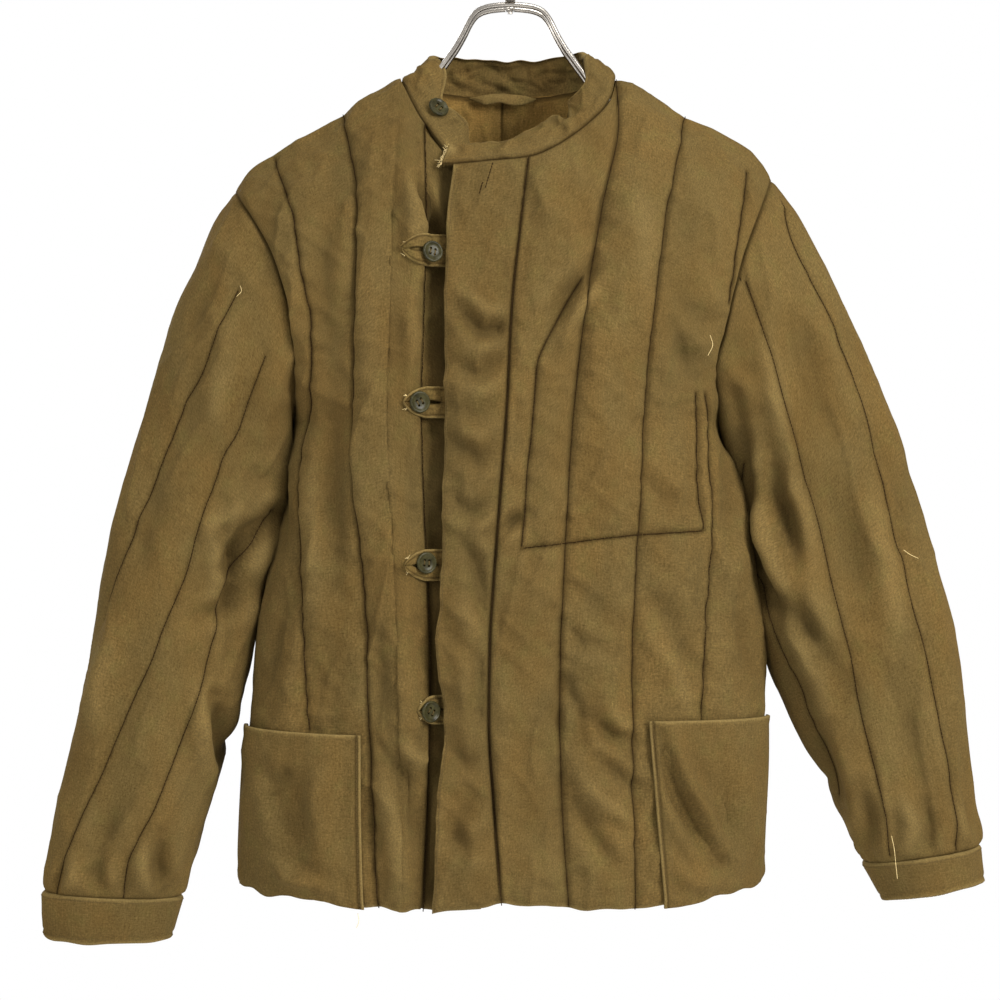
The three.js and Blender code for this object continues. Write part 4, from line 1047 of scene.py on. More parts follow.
class Nodes:
    """A short way to build one material's node tree."""

    def __init__(self, name):
        self.material = bpy.data.materials.new(name)
        self.material.use_nodes = True
        self.tree = self.material.node_tree
        self.shader = self.tree.nodes["Principled BSDF"]

    def put(self, socket, value):
        """Links a socket, or sets it where the value is the same all over."""
        if isinstance(value, bpy.types.NodeSocket):
            self.tree.links.new(value, socket)
        else:
            socket.default_value = value

    def add(self, kind, inputs=None, **values):
        """A node with its own settings, and its inputs linked or set."""
        node = self.tree.nodes.new(kind)
        for name, value in values.items():
            setattr(node, name, value)
        for socket, value in (inputs or {}).items():
            self.put(node.inputs[socket], value)
        return node

    def math(self, operation, a, b=0.0):
        """Two values worked into one."""
        return self.add("ShaderNodeMath", {0: a, 1: b}, operation=operation).outputs[0]

    def ramp(self, value, low, high, to_low=0.0, to_high=1.0):
        """A value moved from one range to another."""
        return self.add("ShaderNodeMapRange", {
            "Value": value, "From Min": low, "From Max": high, "To Min": to_low,
            "To Max": to_high}).outputs[0]

    def blend(self, factor, a, b, how="MIX"):
        """Two colours mixed by a factor."""
        node = self.add("ShaderNodeMix", data_type="RGBA", blend_type=how)
        for index, value in ((0, factor), (6, a), (7, b)):
            self.put(node.inputs[index], value)
        return node.outputs[2]

    def noise(self, vector, scale, detail=2.0, rough=0.5, stretch=None):
        """Soft noise, drawn out where stretch says so."""
        if stretch:
            vector = self.add("ShaderNodeMapping", {"Vector": vector, "Scale": stretch}).outputs[0]
        return self.add("ShaderNodeTexNoise", {
            "Vector": vector, "Scale": scale, "Detail": detail, "Roughness": rough}).outputs[0]

    def place(self):
        """Where a point is on its own object."""
        return self.add("ShaderNodeTexCoord").outputs["Object"]

    def value(self, name):
        """A mark that the mesh carries, by its name."""
        return self.add("ShaderNodeAttribute", attribute_name=name,
                        attribute_type="GEOMETRY").outputs["Fac"]

    def finish(self, colour, roughness, bump=None, strength=0.5, distance=0.0004, **fixed):
        """Joins colour, roughness and relief to the shader, with its fixed inputs."""
        self.put(self.shader.inputs["Base Color"], colour)
        self.put(self.shader.inputs["Roughness"], roughness)
        if bump is not None:
            relief_node = self.add("ShaderNodeBump", {
                "Height": bump, "Strength": strength, "Distance": distance})
            self.put(self.shader.inputs["Normal"], relief_node.outputs[0])
        for name, value in fixed.items():
            self.shader.inputs[name.replace("_", " ")].default_value = value
        return self.material


def shade(colour, factor=1.0):
    """A colour made darker or paler, with its alpha."""
    return (*[c * factor for c in colour], 1.0)


def weave(nodes, uv, pitch):
    """Threads over and under each other, from 0 to 1."""
    bands = []
    for direction in ("X", "Y"):
        wave = nodes.add("ShaderNodeTexWave", {
            "Vector": uv, "Scale": 0.314 / pitch, "Distortion": 1.2, "Detail": 1.0,
            "Detail Scale": 2.0}, bands_direction=direction)
        bands.append(wave.outputs["Fac"])
    return nodes.math("MAXIMUM", *bands)


def cotton(name, colour, settings):
    """Worn brushed cotton: faded in patches, pale where rubbed, dark in its sewn lines, and darkened by
    stains and dirt. It also carries painted shade down the sewn lines' valleys and in fold troughs, a
    painted shadow under the lap, and a painted highlight on fold ridges.
    """
    nodes = Nodes(name)
    uv = nodes.add("ShaderNodeUVMap", uv_map="cloth").outputs[0]
    place = nodes.place()
    patches = nodes.noise(place, 11, 3, 0.55)
    cloudy = nodes.noise(place, 46, 4, 0.6)
    warmth = nodes.noise(place, 23, 3, 0.6, stretch=(1.0, 1.0, 0.5))
    grain = nodes.noise(uv, 560, 4, 0.8)
    threads = nodes.noise(uv, 170, 3, 0.75, stretch=(5.0, 0.6, 1.0))
    crossing = nodes.noise(uv, 170, 3, 0.75, stretch=(0.7, 5.0, 1.0))
    lint = nodes.noise(uv, 1500, 1, 0.5)
    light = nodes.ramp(patches, 0.34, 0.66, 0.91, 1.08)
    for pattern, low, high, darkest, palest in (
            (cloudy, 0.25, 0.75, 0.93, 1.07), (grain, 0.34, 0.66, 0.66, 1.34),
            (threads, 0.34, 0.66, 0.84, 1.16), (crossing, 0.34, 0.66, 0.88, 1.12)):
        light = nodes.math("MULTIPLY", light, nodes.ramp(pattern, low, high, darkest, palest))
    warm = [c * part for c, part in zip(colour, (1.06, 0.98, 0.9))]
    green = [c * part for c, part in zip(colour, (0.9, 1.04, 0.92))]
    tone = nodes.blend(nodes.ramp(warmth, 0.36, 0.64), shade(colour), shade(warm))
    tone = nodes.blend(nodes.ramp(cloudy, 0.52, 0.72, 0.0, 0.45), tone, shade(green))
    spread = nodes.add("ShaderNodeCombineColor", {0: light, 1: light, 2: light}).outputs[0]
    tone = nodes.blend(1.0, tone, spread, "MULTIPLY")
    # The pale mark is wear on free edges and a painted highlight on fold ridges; the dark mark is
    # stains and dirt, painted shade in fold troughs and a painted shadow under the lap; the sewn mark
    # is the seam line and painted shade down its valley.
    worn = nodes.math("MULTIPLY", nodes.value("worn"), nodes.ramp(grain, 0.3, 0.6, 0.35, 1.0))
    for factor, over in (
            (nodes.math("MULTIPLY", worn, 0.55), shade(settings.worn)),
            (nodes.math("MULTIPLY", nodes.value("stain"), 0.6), shade(colour, 0.3)),
            (nodes.math("MULTIPLY", nodes.value("sewn"), 0.93), shade(settings.line)),
            (nodes.ramp(lint, 0.74, 0.8, 0.0, 0.5), shade(settings.worn, 1.3))):
        tone = nodes.blend(factor, tone, over)
    height = nodes.math("ADD", nodes.math("MULTIPLY", grain, 0.8),
                        nodes.math("MULTIPLY", weave(nodes, uv, 0.0009), 0.5))
    height = nodes.math("ADD", height, nodes.math("MULTIPLY", threads, 0.5))
    return nodes.finish(tone, nodes.ramp(grain, 0.2, 0.8, 0.82, 0.97), height, 0.6, 0.0005,
                        Sheen_Weight=0.08, Sheen_Roughness=0.5, Sheen_Tint=shade(settings.worn, 2.0),
                        Specular_IOR_Level=0.01)


def thread(name, colour):
    """Matt cotton thread with a twist."""
    nodes = Nodes(name)
    twist = nodes.noise(nodes.place(), 900, 2, 0.6)
    tone = nodes.blend(nodes.ramp(twist, 0.3, 0.7), shade(colour, 0.7), shade(colour, 1.3))
    return nodes.finish(tone, 0.9, twist, 0.4, 0.0002, Specular_IOR_Level=0.01)


def polished(name, colour, rough):
    """Chromed wire: bright, with fine draw marks and a little tarnish."""
    nodes = Nodes(name)
    place = nodes.place()
    marks = nodes.noise(place, 160, 4, 0.7)
    dull = nodes.noise(place, 40, 3, 0.6)
    tone = nodes.blend(nodes.ramp(dull, 0.35, 0.7), shade(colour), shade(colour, 0.55))
    return nodes.finish(tone, nodes.ramp(marks, 0.3, 0.7, rough, rough + 0.14), marks, 0.15,
                        0.0001, Metallic=1.0)


def button_plastic(name, colour):
    """Dark green moulded buttons with a faint marbling."""
    nodes = Nodes(name)
    place = nodes.place()
    swirl = nodes.noise(place, 180, 4, 0.65)
    scuff = nodes.noise(place, 900, 2, 0.6)
    tone = nodes.blend(nodes.ramp(swirl, 0.35, 0.68), shade(colour, 0.6), shade(colour, 1.6))
    return nodes.finish(tone, nodes.ramp(scuff, 0.3, 0.7, 0.2, 0.32), scuff, 0.1, 0.0001,
                        Specular_IOR_Level=0.06)


MATERIALS = {}


def material(name):
    """Each material once, in the colours of the panel."""
    if name not in MATERIALS:
        scene = bpy.context.scene
        cloth, trim = scene.jacket_cloth, scene.jacket_trim
        make = {
            "outer_cotton": lambda: cotton("outer_cotton", cloth.colour, cloth),
            "lining_cotton": lambda: cotton("lining_cotton", cloth.lining, cloth),
            "quilting_thread": lambda: thread("quilting_thread", trim.quilting_thread),
            "edge_thread": lambda: thread("edge_thread", trim.edge_thread),
            "loose_thread": lambda: thread("loose_thread", trim.loose_thread),
            "button_plastic": lambda: button_plastic("button_plastic", trim.button),
            "chromed_wire": lambda: polished("chromed_wire", trim.chrome, trim.chrome_rough),
        }
        MATERIALS[name] = make[name]()
    return MATERIALS[name]


# ------------------------------------------------------------------ stitches

STITCH_INPUTS = {
    "Geometry": "Geometry", "Pitch": "Float", "Stitch Length": "Float",
    "Thread Radius": "Float", "Unevenness": "Float", "Seed": "Int", "Thread": "Material",
}
STITCH_SIDES = 5
STITCH_UNEVENNESS = 0.12


def thread_paths(name, paths):
    """Loose edges along each path, for the stitches to follow."""
    verts, edges = [], []
    for path in paths:
        start = len(verts)
        verts.extend((np.asarray(path) * MM).tolist())
        edges.extend((start + k, start + k + 1) for k in range(len(path) - 1))
    mesh = bpy.data.meshes.new(name)
    mesh.from_pydata(verts, edges, [])
    obj = bpy.data.objects.new(name, mesh)
    bpy.context.scene.collection.objects.link(obj)
    return obj


def stitch_tree():
    """Geometry nodes: one short stitch after another along every path."""
    tree = bpy.data.node_groups.new("row_of_stitches", "GeometryNodeTree")
    for name, kind in STITCH_INPUTS.items():
        tree.interface.new_socket(name, in_out="INPUT", socket_type="NodeSocket" + kind)
    tree.interface.new_socket("Geometry", in_out="OUTPUT", socket_type="NodeSocketGeometry")

    def node(kind, **values):
        made = tree.nodes.new(kind)
        for key, value in values.items():
            setattr(made, key, value)
        return made

    given, result = node("NodeGroupInput"), node("NodeGroupOutput")
    curve = node("GeometryNodeMeshToCurve")
    even = node("GeometryNodeCurveToPoints", mode="LENGTH")
    stitch = node("GeometryNodeMeshCylinder", fill_type="NGON")
    stitch.inputs["Vertices"].default_value = STITCH_SIDES
    place = node("GeometryNodeInstanceOnPoints")
    vary = node("FunctionNodeRandomValue", data_type="FLOAT")
    vary.inputs[3].default_value = 1.0
    least = node("ShaderNodeMath", operation="SUBTRACT")
    least.inputs[0].default_value = 1.0
    real = node("GeometryNodeRealizeInstances")
    paint = node("GeometryNodeSetMaterial")
    for start, end in (
            (given.outputs["Geometry"], curve.inputs["Mesh"]),
            (curve.outputs[0], even.inputs["Curve"]),
            (given.outputs["Pitch"], even.inputs["Length"]),
            (given.outputs["Thread Radius"], stitch.inputs["Radius"]),
            (given.outputs["Stitch Length"], stitch.inputs["Depth"]),
            (given.outputs["Unevenness"], least.inputs[1]),
            (least.outputs[0], vary.inputs[2]),
            (given.outputs["Seed"], vary.inputs["Seed"]),
            (even.outputs["Points"], place.inputs["Points"]),
            (stitch.outputs["Mesh"], place.inputs["Instance"]),
            (even.outputs["Rotation"], place.inputs["Rotation"]),
            (vary.outputs[1], place.inputs["Scale"]),
            (place.outputs[0], real.inputs[0]),
            (real.outputs[0], paint.inputs["Geometry"]),
            (given.outputs["Thread"], paint.inputs["Material"]),
            (paint.outputs[0], result.inputs[0])):
        tree.links.new(start, end)
    return tree


def stitched(name, paths, thread_name, pitch=None, seed=1):
    """Rows of stitches along finished paths, as one plain mesh."""
    trim = bpy.context.scene.jacket_trim
    radius = trim.quilting_radius if thread_name == "quilting_thread" else trim.edge_radius
    tree = bpy.data.node_groups.get("row_of_stitches") or stitch_tree()
    obj = thread_paths(name + "_paths", paths)
    modifier = obj.modifiers.new("stitches", "NODES")
    modifier.node_group = tree
    pitch = pitch or trim.stitch_pitch
    given = {
        "Pitch": pitch, "Stitch Length": pitch * trim.stitch_part,
        "Thread Radius": radius, "Unevenness": STITCH_UNEVENNESS, "Seed": seed,
        "Thread": material(thread_name),
    }
    for item in tree.interface.items_tree:
        if item.in_out == "INPUT" and item.name in given:
            modifier[item.identifier] = given[item.name]
    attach(baked(obj, name), "root")


def loose_ends(name, starts, seed, length):
    """Short frayed threads that curl out of a worn edge."""
    rng = np.random.default_rng(seed)
    strands = []
    for k, (spot, way) in enumerate(starts):
        along = np.asarray(way, float) + rng.normal(0, 0.55, 3)
        along /= np.linalg.norm(along)
        bend = rng.normal(0, 0.6, 3)
        reach = length * rng.uniform(0.35, 1.0)
        t = np.linspace(0, 1, 6)[:, None]
        path = np.asarray(spot) + along * t * reach + bend * (t ** 2) * reach * 0.5
        strands.append(tube(f"{name}_{k}", path, FRAY_RADIUS, 4, False, material("loose_thread")))
    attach(joined(name, strands), "root")


# ------------------------------------------------------------------ how each panel is finished


def relief(points, folds, sewn_away, settings, seed, calm, soft, slant, broad):
    """How far the cloth stands out of its plain form, and how far its placed folds do.

    sewn_away is the distance to the nearest sewn line, calm is 1 where cloth lies flat, slant
    is how many degrees its long folds lean, and broad is 0 where it turns out of sight."""
    near = np.exp(-((sewn_away / (2.6 * soft)) ** 2)) / soft
    beside = np.exp(-((sewn_away / 11.0) ** 2))
    valley = -settings.valley / MM * (near + 0.8 * beside)
    drawn = waves(points * (0.3, 0.3, 1.0), 13, seed) * 0.5 + waves(points, 19, seed + 1) * 0.4
    at_line = np.exp(-((sewn_away / 16.0) ** 2)) * ease(sewn_away / 5 + 0.1)
    puckers = settings.pucker / MM * drawn * at_line / soft ** 2
    rumpled = 1.0 * waves(slanted(points, slant, 0.3), 56, seed + 2)
    rumpled += 1.2 * creases(slanted(points, slant - 8, 0.26), 44, seed + 3)
    rumpled += 0.75 * creases(slanted(points, slant + 36, 0.32), 46, seed + 4) / soft
    rumpled += 0.4 * creases(slanted(points, slant - 40, 0.4), 36, seed + 5) / soft
    rumpled += 0.15 * waves(points, 15, seed + 6) / soft ** 2
    placed = placed_folds(points, folds) * settings.creases if folds else 0 * sewn_away
    loose = puckers + settings.fold / MM * rumpled * mix(0.25, 1, broad)
    return valley + (1 - calm) * (loose + placed), (1 - calm) * placed


def hanging_hem(points, away):
    """The points of an open piece with its hem drawn up at the sewn lines and uneven between."""
    gone = edge_distance(points, 0, -1)
    drawn = 2.2 * np.exp(-((away / 9) ** 2)) + 1.2 * waves(points * (1, 1, 0), 39, 91)
    return raised(points, drawn * np.exp(-((gone / 22) ** 2)))


def raised(points, by):
    """The points moved up."""
    return points + np.stack([0 * by, 0 * by, by], axis=-1)


def edged(points, lift, away, closed, free, rolled_by, valley):
    """Free edges rounded over and seams drawn in.

    Returns the lift, the distance to any sewing, and the wear on the free edges."""
    worn = np.zeros(points.shape[:2])
    for axis, end in EDGES:
        if closed and axis == 1:
            continue
        gone = edge_distance(points, axis, end)
        if (axis, end) in free:
            wide = rolled_by * (1.9 if axis == 0 and not closed else 1.0)
            lift = lift * ease(gone / 5 + 0.35) - rolled(gone, wide)
            worn = np.maximum(worn, np.exp(-((gone / 2.2) ** 2)))
        else:
            lift = lift * ease(gone / 9) - 0.7 * valley * np.exp(-((gone / 2.6) ** 2))
            away = np.minimum(away, gone + 0.35)
    return lift, away, worn


def panel(name, nodes, points, closed, wall, folds, lines, hidden=0.0, free=(), calm=0.0,
          away_from=None, facing=None, lining="lining_cotton", seed=3, dark=1.0, soil_and_shadow=0.0,
          slant=0.0, rolled_by=4.0):
    """One sewn piece: its form with its quilting and folds, as a wall of padded cloth.

    folds are the placed folds of an open piece, or those of the front and back of a tube."""
    settings = bpy.context.scene.jacket_cloth
    away = distance_to(points, lines)
    if HEM_EDGE in free and not closed:
        points = hanging_hem(points, away)
    normal, flip = outward(points, closed, away_from, facing)
    broad = ease(np.abs(normal[..., 1]) * 1.25)
    faces = [relief(points, placed, away, settings, seed, calm, SOFT_TUBE if closed else 1.0,
                    slant, broad) for placed in (folds if closed else [folds])]
    share = ease(0.5 - normal[..., 1] * 2.5) if closed else 1.0
    lift, placed = (mix(b, a, share) for a, b in zip(faces[0], faces[-1]))
    lift, away, worn = edged(points, lift, away, closed, free, rolled_by, settings.valley / MM)
    lift = lift - hidden
    outer = points + normal * lift[..., None]
    behind = np.maximum(wall - 0.5 * waves(points, 34, seed + 9), LEAST_WALL - lowest(lift, 4))
    inner = points - normal * behind[..., None]
    # Marks: each seam line with painted shade down its valley; wear on free edges with a painted
    # highlight on the placed folds' ridges; dirt, the painted shadow under the lap and painted shade in
    # the placed folds' troughs.
    marks = {"sewn": 0.8 * dark * np.exp(-((away / (settings.line_width / MM)) ** 2)),
             "worn": np.maximum(worn, settings.painted_fold_shading * ease(placed / FOLD_HIGH)),
             "stain": soil_and_shadow + settings.painted_fold_shading * ease(-placed / FOLD_HIGH)}
    wide, lined, marks = tucked(outer, inner, normal, marks, closed, free)
    obj = shell(name, wide, lined, flip, closed, [material("outer_cotton"), material(lining)],
                marks)
    piece(obj, "cloth", *nodes)
    return obj, Skin(points, normal, outer, closed)


def lowest(values, reach):
    """The least value within a few cells of every cell."""
    rows, cols = values.shape
    padded = np.pad(values, reach, mode="edge")
    across = np.min([padded[:, k:k + cols] for k in range(2 * reach + 1)], axis=0)
    return np.min([across[k:k + rows] for k in range(2 * reach + 1)], axis=0)


def extended(end, whole, extra, axis):
    """An array with one more row or column at one end."""
    return np.concatenate((extra, whole) if end == 0 else (whole, extra), axis=axis)


def allowance(outer, edge, axis, end, closed):
    """How far a seam allowance runs on, how deep it sinks, and whether it is in the collar."""
    if axis == 0 and closed:
        return (*ARMHOLE_TUCK, 0.0)
    if axis == 0:
        at_neck = ease((92 - np.abs(edge[..., :1] - MID_X)) / 8)
        return SHOULDER_TURN, mix(SHOULDER_SINK, COLLAR_SINK, at_neck), at_neck
    from_top = np.take(edge_distance(outer, 0, 0), [end], axis=1)[..., None]
    from_hem = np.take(edge_distance(outer, 0, -1), [end], axis=1)[..., None]
    away = ease(from_top / 40) * ease(from_hem / 12)
    return mix(CORNER_TURN, SEAM_TURN, away), mix(SHOULDER_SINK, SEAM_SINK, away), 0.0


def tucked(outer, inner, normal, marks, closed, free):
    """Both faces carried on past each sewn edge and turned under it, as seam allowances."""
    for axis, end in EDGES:
        if (closed and axis == 1) or (axis, end) in free:
            continue
        edge, near = (np.take(outer, [i], axis=axis) for i in (end, 1 if end == 0 else -2))
        onward = edge - near
        onward /= np.maximum(np.linalg.norm(onward, axis=-1, keepdims=True), 1e-6)
        across = np.take(normal, [end], axis=axis)
        turn, sink, at_neck = allowance(outer, edge, axis, end, closed)
        turned = edge + onward * turn - across * sink
        lining = np.take(inner, [end], axis=axis) + onward * turn
        lining = mix(lining, turned - across * LINING_WALL, at_neck)
        outer = extended(end, outer, turned, axis)
        inner = extended(end, inner, lining, axis)
        normal = extended(end, normal, across, axis)
        marks = {name: extended(end, mark, np.take(mark, [end], axis=axis), axis)
                 for name, mark in marks.items()}
    return outer, inner, marks


def widths(points, closed):
    """How wide a piece is at each of its rows."""
    wide = edge_distance(points, 1, 0)[:, -1]
    if closed:
        wide = wide + np.linalg.norm(points[:, 0] - points[:, -1], axis=-1)
    return wide


def declare(points, closed):
    """Works out a piece's greatest width and length and its area, and keeps none of them."""
    wide = widths(points, closed)
    down = edge_distance(points, 0, 0)
    middle = down.mean(axis=1)
    area = float(np.sum(0.5 * (wide[1:] + wide[:-1]) * np.diff(middle))) * MM * MM
    flat = (round(float(wide.max()) * MM, 3), round(float(down[-1].max()) * MM, 3))
    area = min(max(area, LEAST_SHARE * flat[0] * flat[1]), flat[0] * flat[1])


def rows_down(step):
    """Rows that are evenly apart on the cloth from the shoulder to the hem."""
    fine = np.linspace(0, 1, 1200)
    runs = runs_along(front_point(LEFT, 2.5, fine))
    rows = spaced(0, runs[-1], runs[-1], step, ends=(0, 1))
    return np.interp(rows, runs, fine)


FINISHED = {"loops": []}  # finished outer faces, for what lies on them


def pinched(across):
    """Places from the band's seam to the next line, for even parts of the way across."""
    return 2 - (1 - across) ** (1 / PINCH)


def front_mesh(side, step, down):
    """The grids of one front's band and body, their seam, and the lines sewn through it."""
    band_columns = spaced(0, 1, BAND_WIDE, step, ends=(1, 0))
    body_columns = np.concatenate([
        pinched(spaced(0, 1, 75 if side is LEFT else 34, step))[:-1],
        spaced(2, 3, 62, step)[:-1],
        spaced(3, 4, 128, step),
    ])
    seam = front_point(side, 1.0, down[:, 0])
    band = front_point(side, band_columns[None, :], down)
    body = front_point(side, body_columns[None, :], down)
    tree = surface_tree(body, False)
    sewn = [front_point(side, k, down[:, 0]) for k in SEWN_PLACES[side.name]]
    extra = list(CHEST_POCKET.values()) if side is LEFT else RIGHT_FRONT_LINES
    sewn += [p for p in (cast(tree, path, "front") for path in extra) if p is not None]
    return band, body, seam, sewn


def make_front(side, step, down):
    """One front and its band. Returns the paths of its quilting and topstitching, and its edge."""
    name = side.name
    band, body, seam, sewn = front_mesh(side, step, down)
    under = pocket_mask(side, body)
    if side is RIGHT:
        gone = distance_to(body, [front_point(side, 2.0, down[:, 0])])
        under = under - 2.6 * np.exp(-((gone / 11) ** 2))
    cloth, skin = panel(
        f"front_{name}_cloth", [f"front_{name}"], body, False, WALL, FRONT_FOLDS,
        [*sewn, seam], hidden=under * POCKET_SINK, free=(HEM_EDGE,), facing=FRONTWARD,
        calm=0.75 * np.clip(under, 0, 1), soil_and_shadow=FRONT_SOIL[name])
    declare(body, False)
    # A painted shadow on the under band, darkest beside the over band's edge that casts it.
    in_lap = ease((band[..., 0] - OVER_EDGE.at(band[..., 2])) / LAP_SHADE + 1)
    strip, edge_skin = panel(
        f"band_{name}_cloth", [f"band_{name}"], band, False, WALL, FRONT_FOLDS, [seam],
        free=((1, 0), HEM_EDGE), facing=FRONTWARD,
        soil_and_shadow=BAND_SOIL + (0 if side is LEFT else LAP_PAINTED_SHADOW * in_lap),
        hidden=0.0 if side is LEFT else UNDER_BAND_SINK)
    declare(band, False)
    FINISHED[name] = (skin.done, edge_skin.done)
    quilting = [skin.lay(resample(path, THREAD_STEP)[2:-2], QUILTING_LIFT) for path in sewn]
    quilting.append(skin.lay(resample(seam, THREAD_STEP)[2:-2], THREAD_LIFT))
    edge = resample(inset(band, 1, BAND_STITCH), THREAD_STEP)[4:-4]
    return quilting, edge_skin.lay(edge, THREAD_LIFT), edge_skin


def make_fronts():
    """Both fronts and their bands, with the chest pocket that is sewn inside the left one."""
    step = bpy.context.scene.jacket_cloth.spacing / MM
    down = rows_down(step)[:, None]
    made = [make_front(side, step, down) for side in SIDES.values()]
    quilting = [row for rows, _, _ in made for row in rows]
    stitched("front_quilting", quilting, "quilting_thread", seed=11)
    stitched("front_topstitching", [edge for _, edge, _ in made], "edge_thread", seed=12)
    mend_band(made[0][2])


def inset(points, axis, distance):
    """A path along a grid, a set distance in from its first edge."""
    gone = edge_distance(points, axis, 0)
    lane = points if axis == 1 else points.swapaxes(0, 1)
    gone = gone if axis == 1 else gone.T
    return np.array([[np.interp(distance, g, row[:, k]) for k in range(3)]
                     for g, row in zip(gone, lane)])


def mend_band(skin):
    """Two short rows beside the top of the over band, where it was mended."""
    long = front_at(LEFT, np.linspace(0.53, 0.49, 12), np.linspace(-209, -229, 12))
    short = front_at(LEFT, np.linspace(0.44, 0.42, 8), np.linspace(-226, -233, 8))
    rows = [skin.lay(row, THREAD_LIFT) for row in (long, short)]
    stitched("band_mending", rows, "quilting_thread", pitch=0.0026, seed=13)


def pocket_mask(side, points):
    """1 under the patch pocket and 0 elsewhere, soft at its edges."""
    corners = pocket_point(side, np.array([0.0, 1.0, 0.0]), np.array([0.0, 0.0, 1.0]))
    x, z = points[..., 0], points[..., 2]
    sign = 1 if side is LEFT else -1
    slant = np.interp(-z, [-corners[0, 2], -corners[2, 2]], [corners[0, 0], corners[2, 0]])
    inside = ease((sign * (x - slant)) / 5)
    below = ease((corners[:2, 2].mean() - z) / 5)
    return inside * below


def pocket_point(side, u, v):
    """A point of a patch pocket: u from its inner edge to the side, v from mouth to hem."""
    cut = POCKET[side.name]
    u, v = np.broadcast_arrays(np.asarray(u, float), np.asarray(v, float))
    mouth = mix(cut["inner_z"], cut["side_z"], u)
    place = mix(3 + mix(cut["mouth"], cut["hem"], v), 3 + POCKET_SIDE, u)
    hem = front_point(side, place, 1.0)[..., 2] + 1
    return front_at(side, place, mix(mouth, hem, v))


POCKET_FOLDS = {
    "left": [
        ([(121, -684), (136, -730), (153, -762), (173, -790)], 7, -3.4),
        ([(128, -682), (146, -730), (166, -766), (186, -792)], 8, 2.0),
        ([(170, -700), (178, -740), (176, -790)], 12, -1.6),
        ([(130, -790), (150, -806), (176, -812)], 7, 1.4),
    ],
    "right": [
        ([(-186, -704), (-180, -740), (-174, -790)], 11, -1.8),
        ([(-150, -700), (-160, -740), (-152, -790)], 11, 1.8),
        ([(-200, -790), (-180, -806), (-150, -812)], 7, 1.6),
        ([(-204, -712), (-196, -730), (-192, -760)], 8, -1.6),
    ],
}
SMUDGES = [((-184.5, -716), 5, 9, 1.0), ((-197.5, -735), 5, 4, 0.55), ((-171, -742), 4, 5, 0.4)]


def pocket_relief(plain, name, inner, mouth, outer_edge, hem):
    """How far a pocket stands off its front, from the distances to its four edges."""
    settings = bpy.context.scene.jacket_cloth
    edge = np.minimum(np.minimum(inner, outer_edge), hem)
    lift = 0.9 * waves(plain, 44, 31) + 0.5 * creases(plain, 26, 32)
    lift += placed_folds(plain, POCKET_FOLDS[name]) * settings.creases * 1.7
    lift *= ease(edge / 14)
    lift += 1.5 * waves(plain * (1, 1, 0.2), 15, 35) * np.exp(-(((hem - 9) / 9) ** 2))
    lift -= 2.6 * np.exp(-((hem / 5) ** 2))
    lift += 1.5 * ease(edge / 22) * ease(1 - mouth / 90) + 0.7 * np.exp(-((mouth / 7) ** 4))
    lift += 0.45 * waves(plain * (1, 1, 0.3), 13, 33) * np.exp(-((mouth / 9) ** 2))
    lift -= 0.8 * np.exp(-(((inner - POCKET_STITCH) / 1.6) ** 2))
    return lift - rolled(np.minimum(inner, mouth), 1.3)


def smudged(plain):
    """The stains of the right pocket, over dirt that is a little uneven."""
    x, z = plain[..., 0], plain[..., 2]
    stain = np.zeros(x.shape)
    for (at_x, at_z), wide, tall, dark in SMUDGES:
        spot = ((x - at_x) / wide) ** 2 + ((z - at_z) / tall) ** 2
        stain = np.maximum(stain, dark * np.exp(-spot))
    return stain + 0.08 * ease(0.5 + 0.6 * waves(plain, 60, 37))


def make_pocket(side, step):
    """One patch pocket. Returns the paths of its topstitching."""
    name = side.name
    u = spaced(0, 1, 112, step, ends=(1, 0))[None, :]
    v = spaced(0, 1, 150, step, ends=(1, 1))[:, None]
    plain = pocket_point(side, u, v)
    normal, flip = outward(plain, False, facing=np.array(FRONTWARD))
    mouth, inner = edge_distance(plain, 0, 0), edge_distance(plain, 1, 0)
    hem, outer_edge = edge_distance(plain, 0, -1), edge_distance(plain, 1, -1)
    lift = POCKET_GAP + POCKET_WALL + pocket_relief(plain, name, inner, mouth, outer_edge, hem)
    outer = plain + normal * lift[..., None]
    outer[..., 2] += (2.2 * waves(plain * (1, 1, 0), 36, 36) - 1) * np.exp(-((hem / 16) ** 2))
    marks = {"sewn": 0.85 * np.exp(-(((inner - POCKET_STITCH) / 1.3) ** 2)),
             "worn": np.exp(-((np.minimum(mouth, inner) / 1.8) ** 2)),
             "stain": smudged(plain)}
    obj = shell(f"pocket_{name}_cloth", outer, outer - normal * POCKET_WALL, flip, False,
                [material("outer_cotton")], marks)
    piece(obj, "cloth", f"pocket_{name}")
    declare(plain, False)
    tree = surface_tree(outer, False)
    return [settle(tree, resample(inset(plain, 1, lane), THREAD_STEP)[2:-2], THREAD_LIFT)
            for lane in POCKET_ROWS[name]]


def make_pockets():
    """The two patch pockets, with their turned mouths and topstitched sides."""
    step = bpy.context.scene.jacket_cloth.spacing * 0.9 / MM
    rows = [row for side in SIDES.values() for row in make_pocket(side, step)]
    stitched("pocket_stitching", rows, "edge_thread", seed=21)


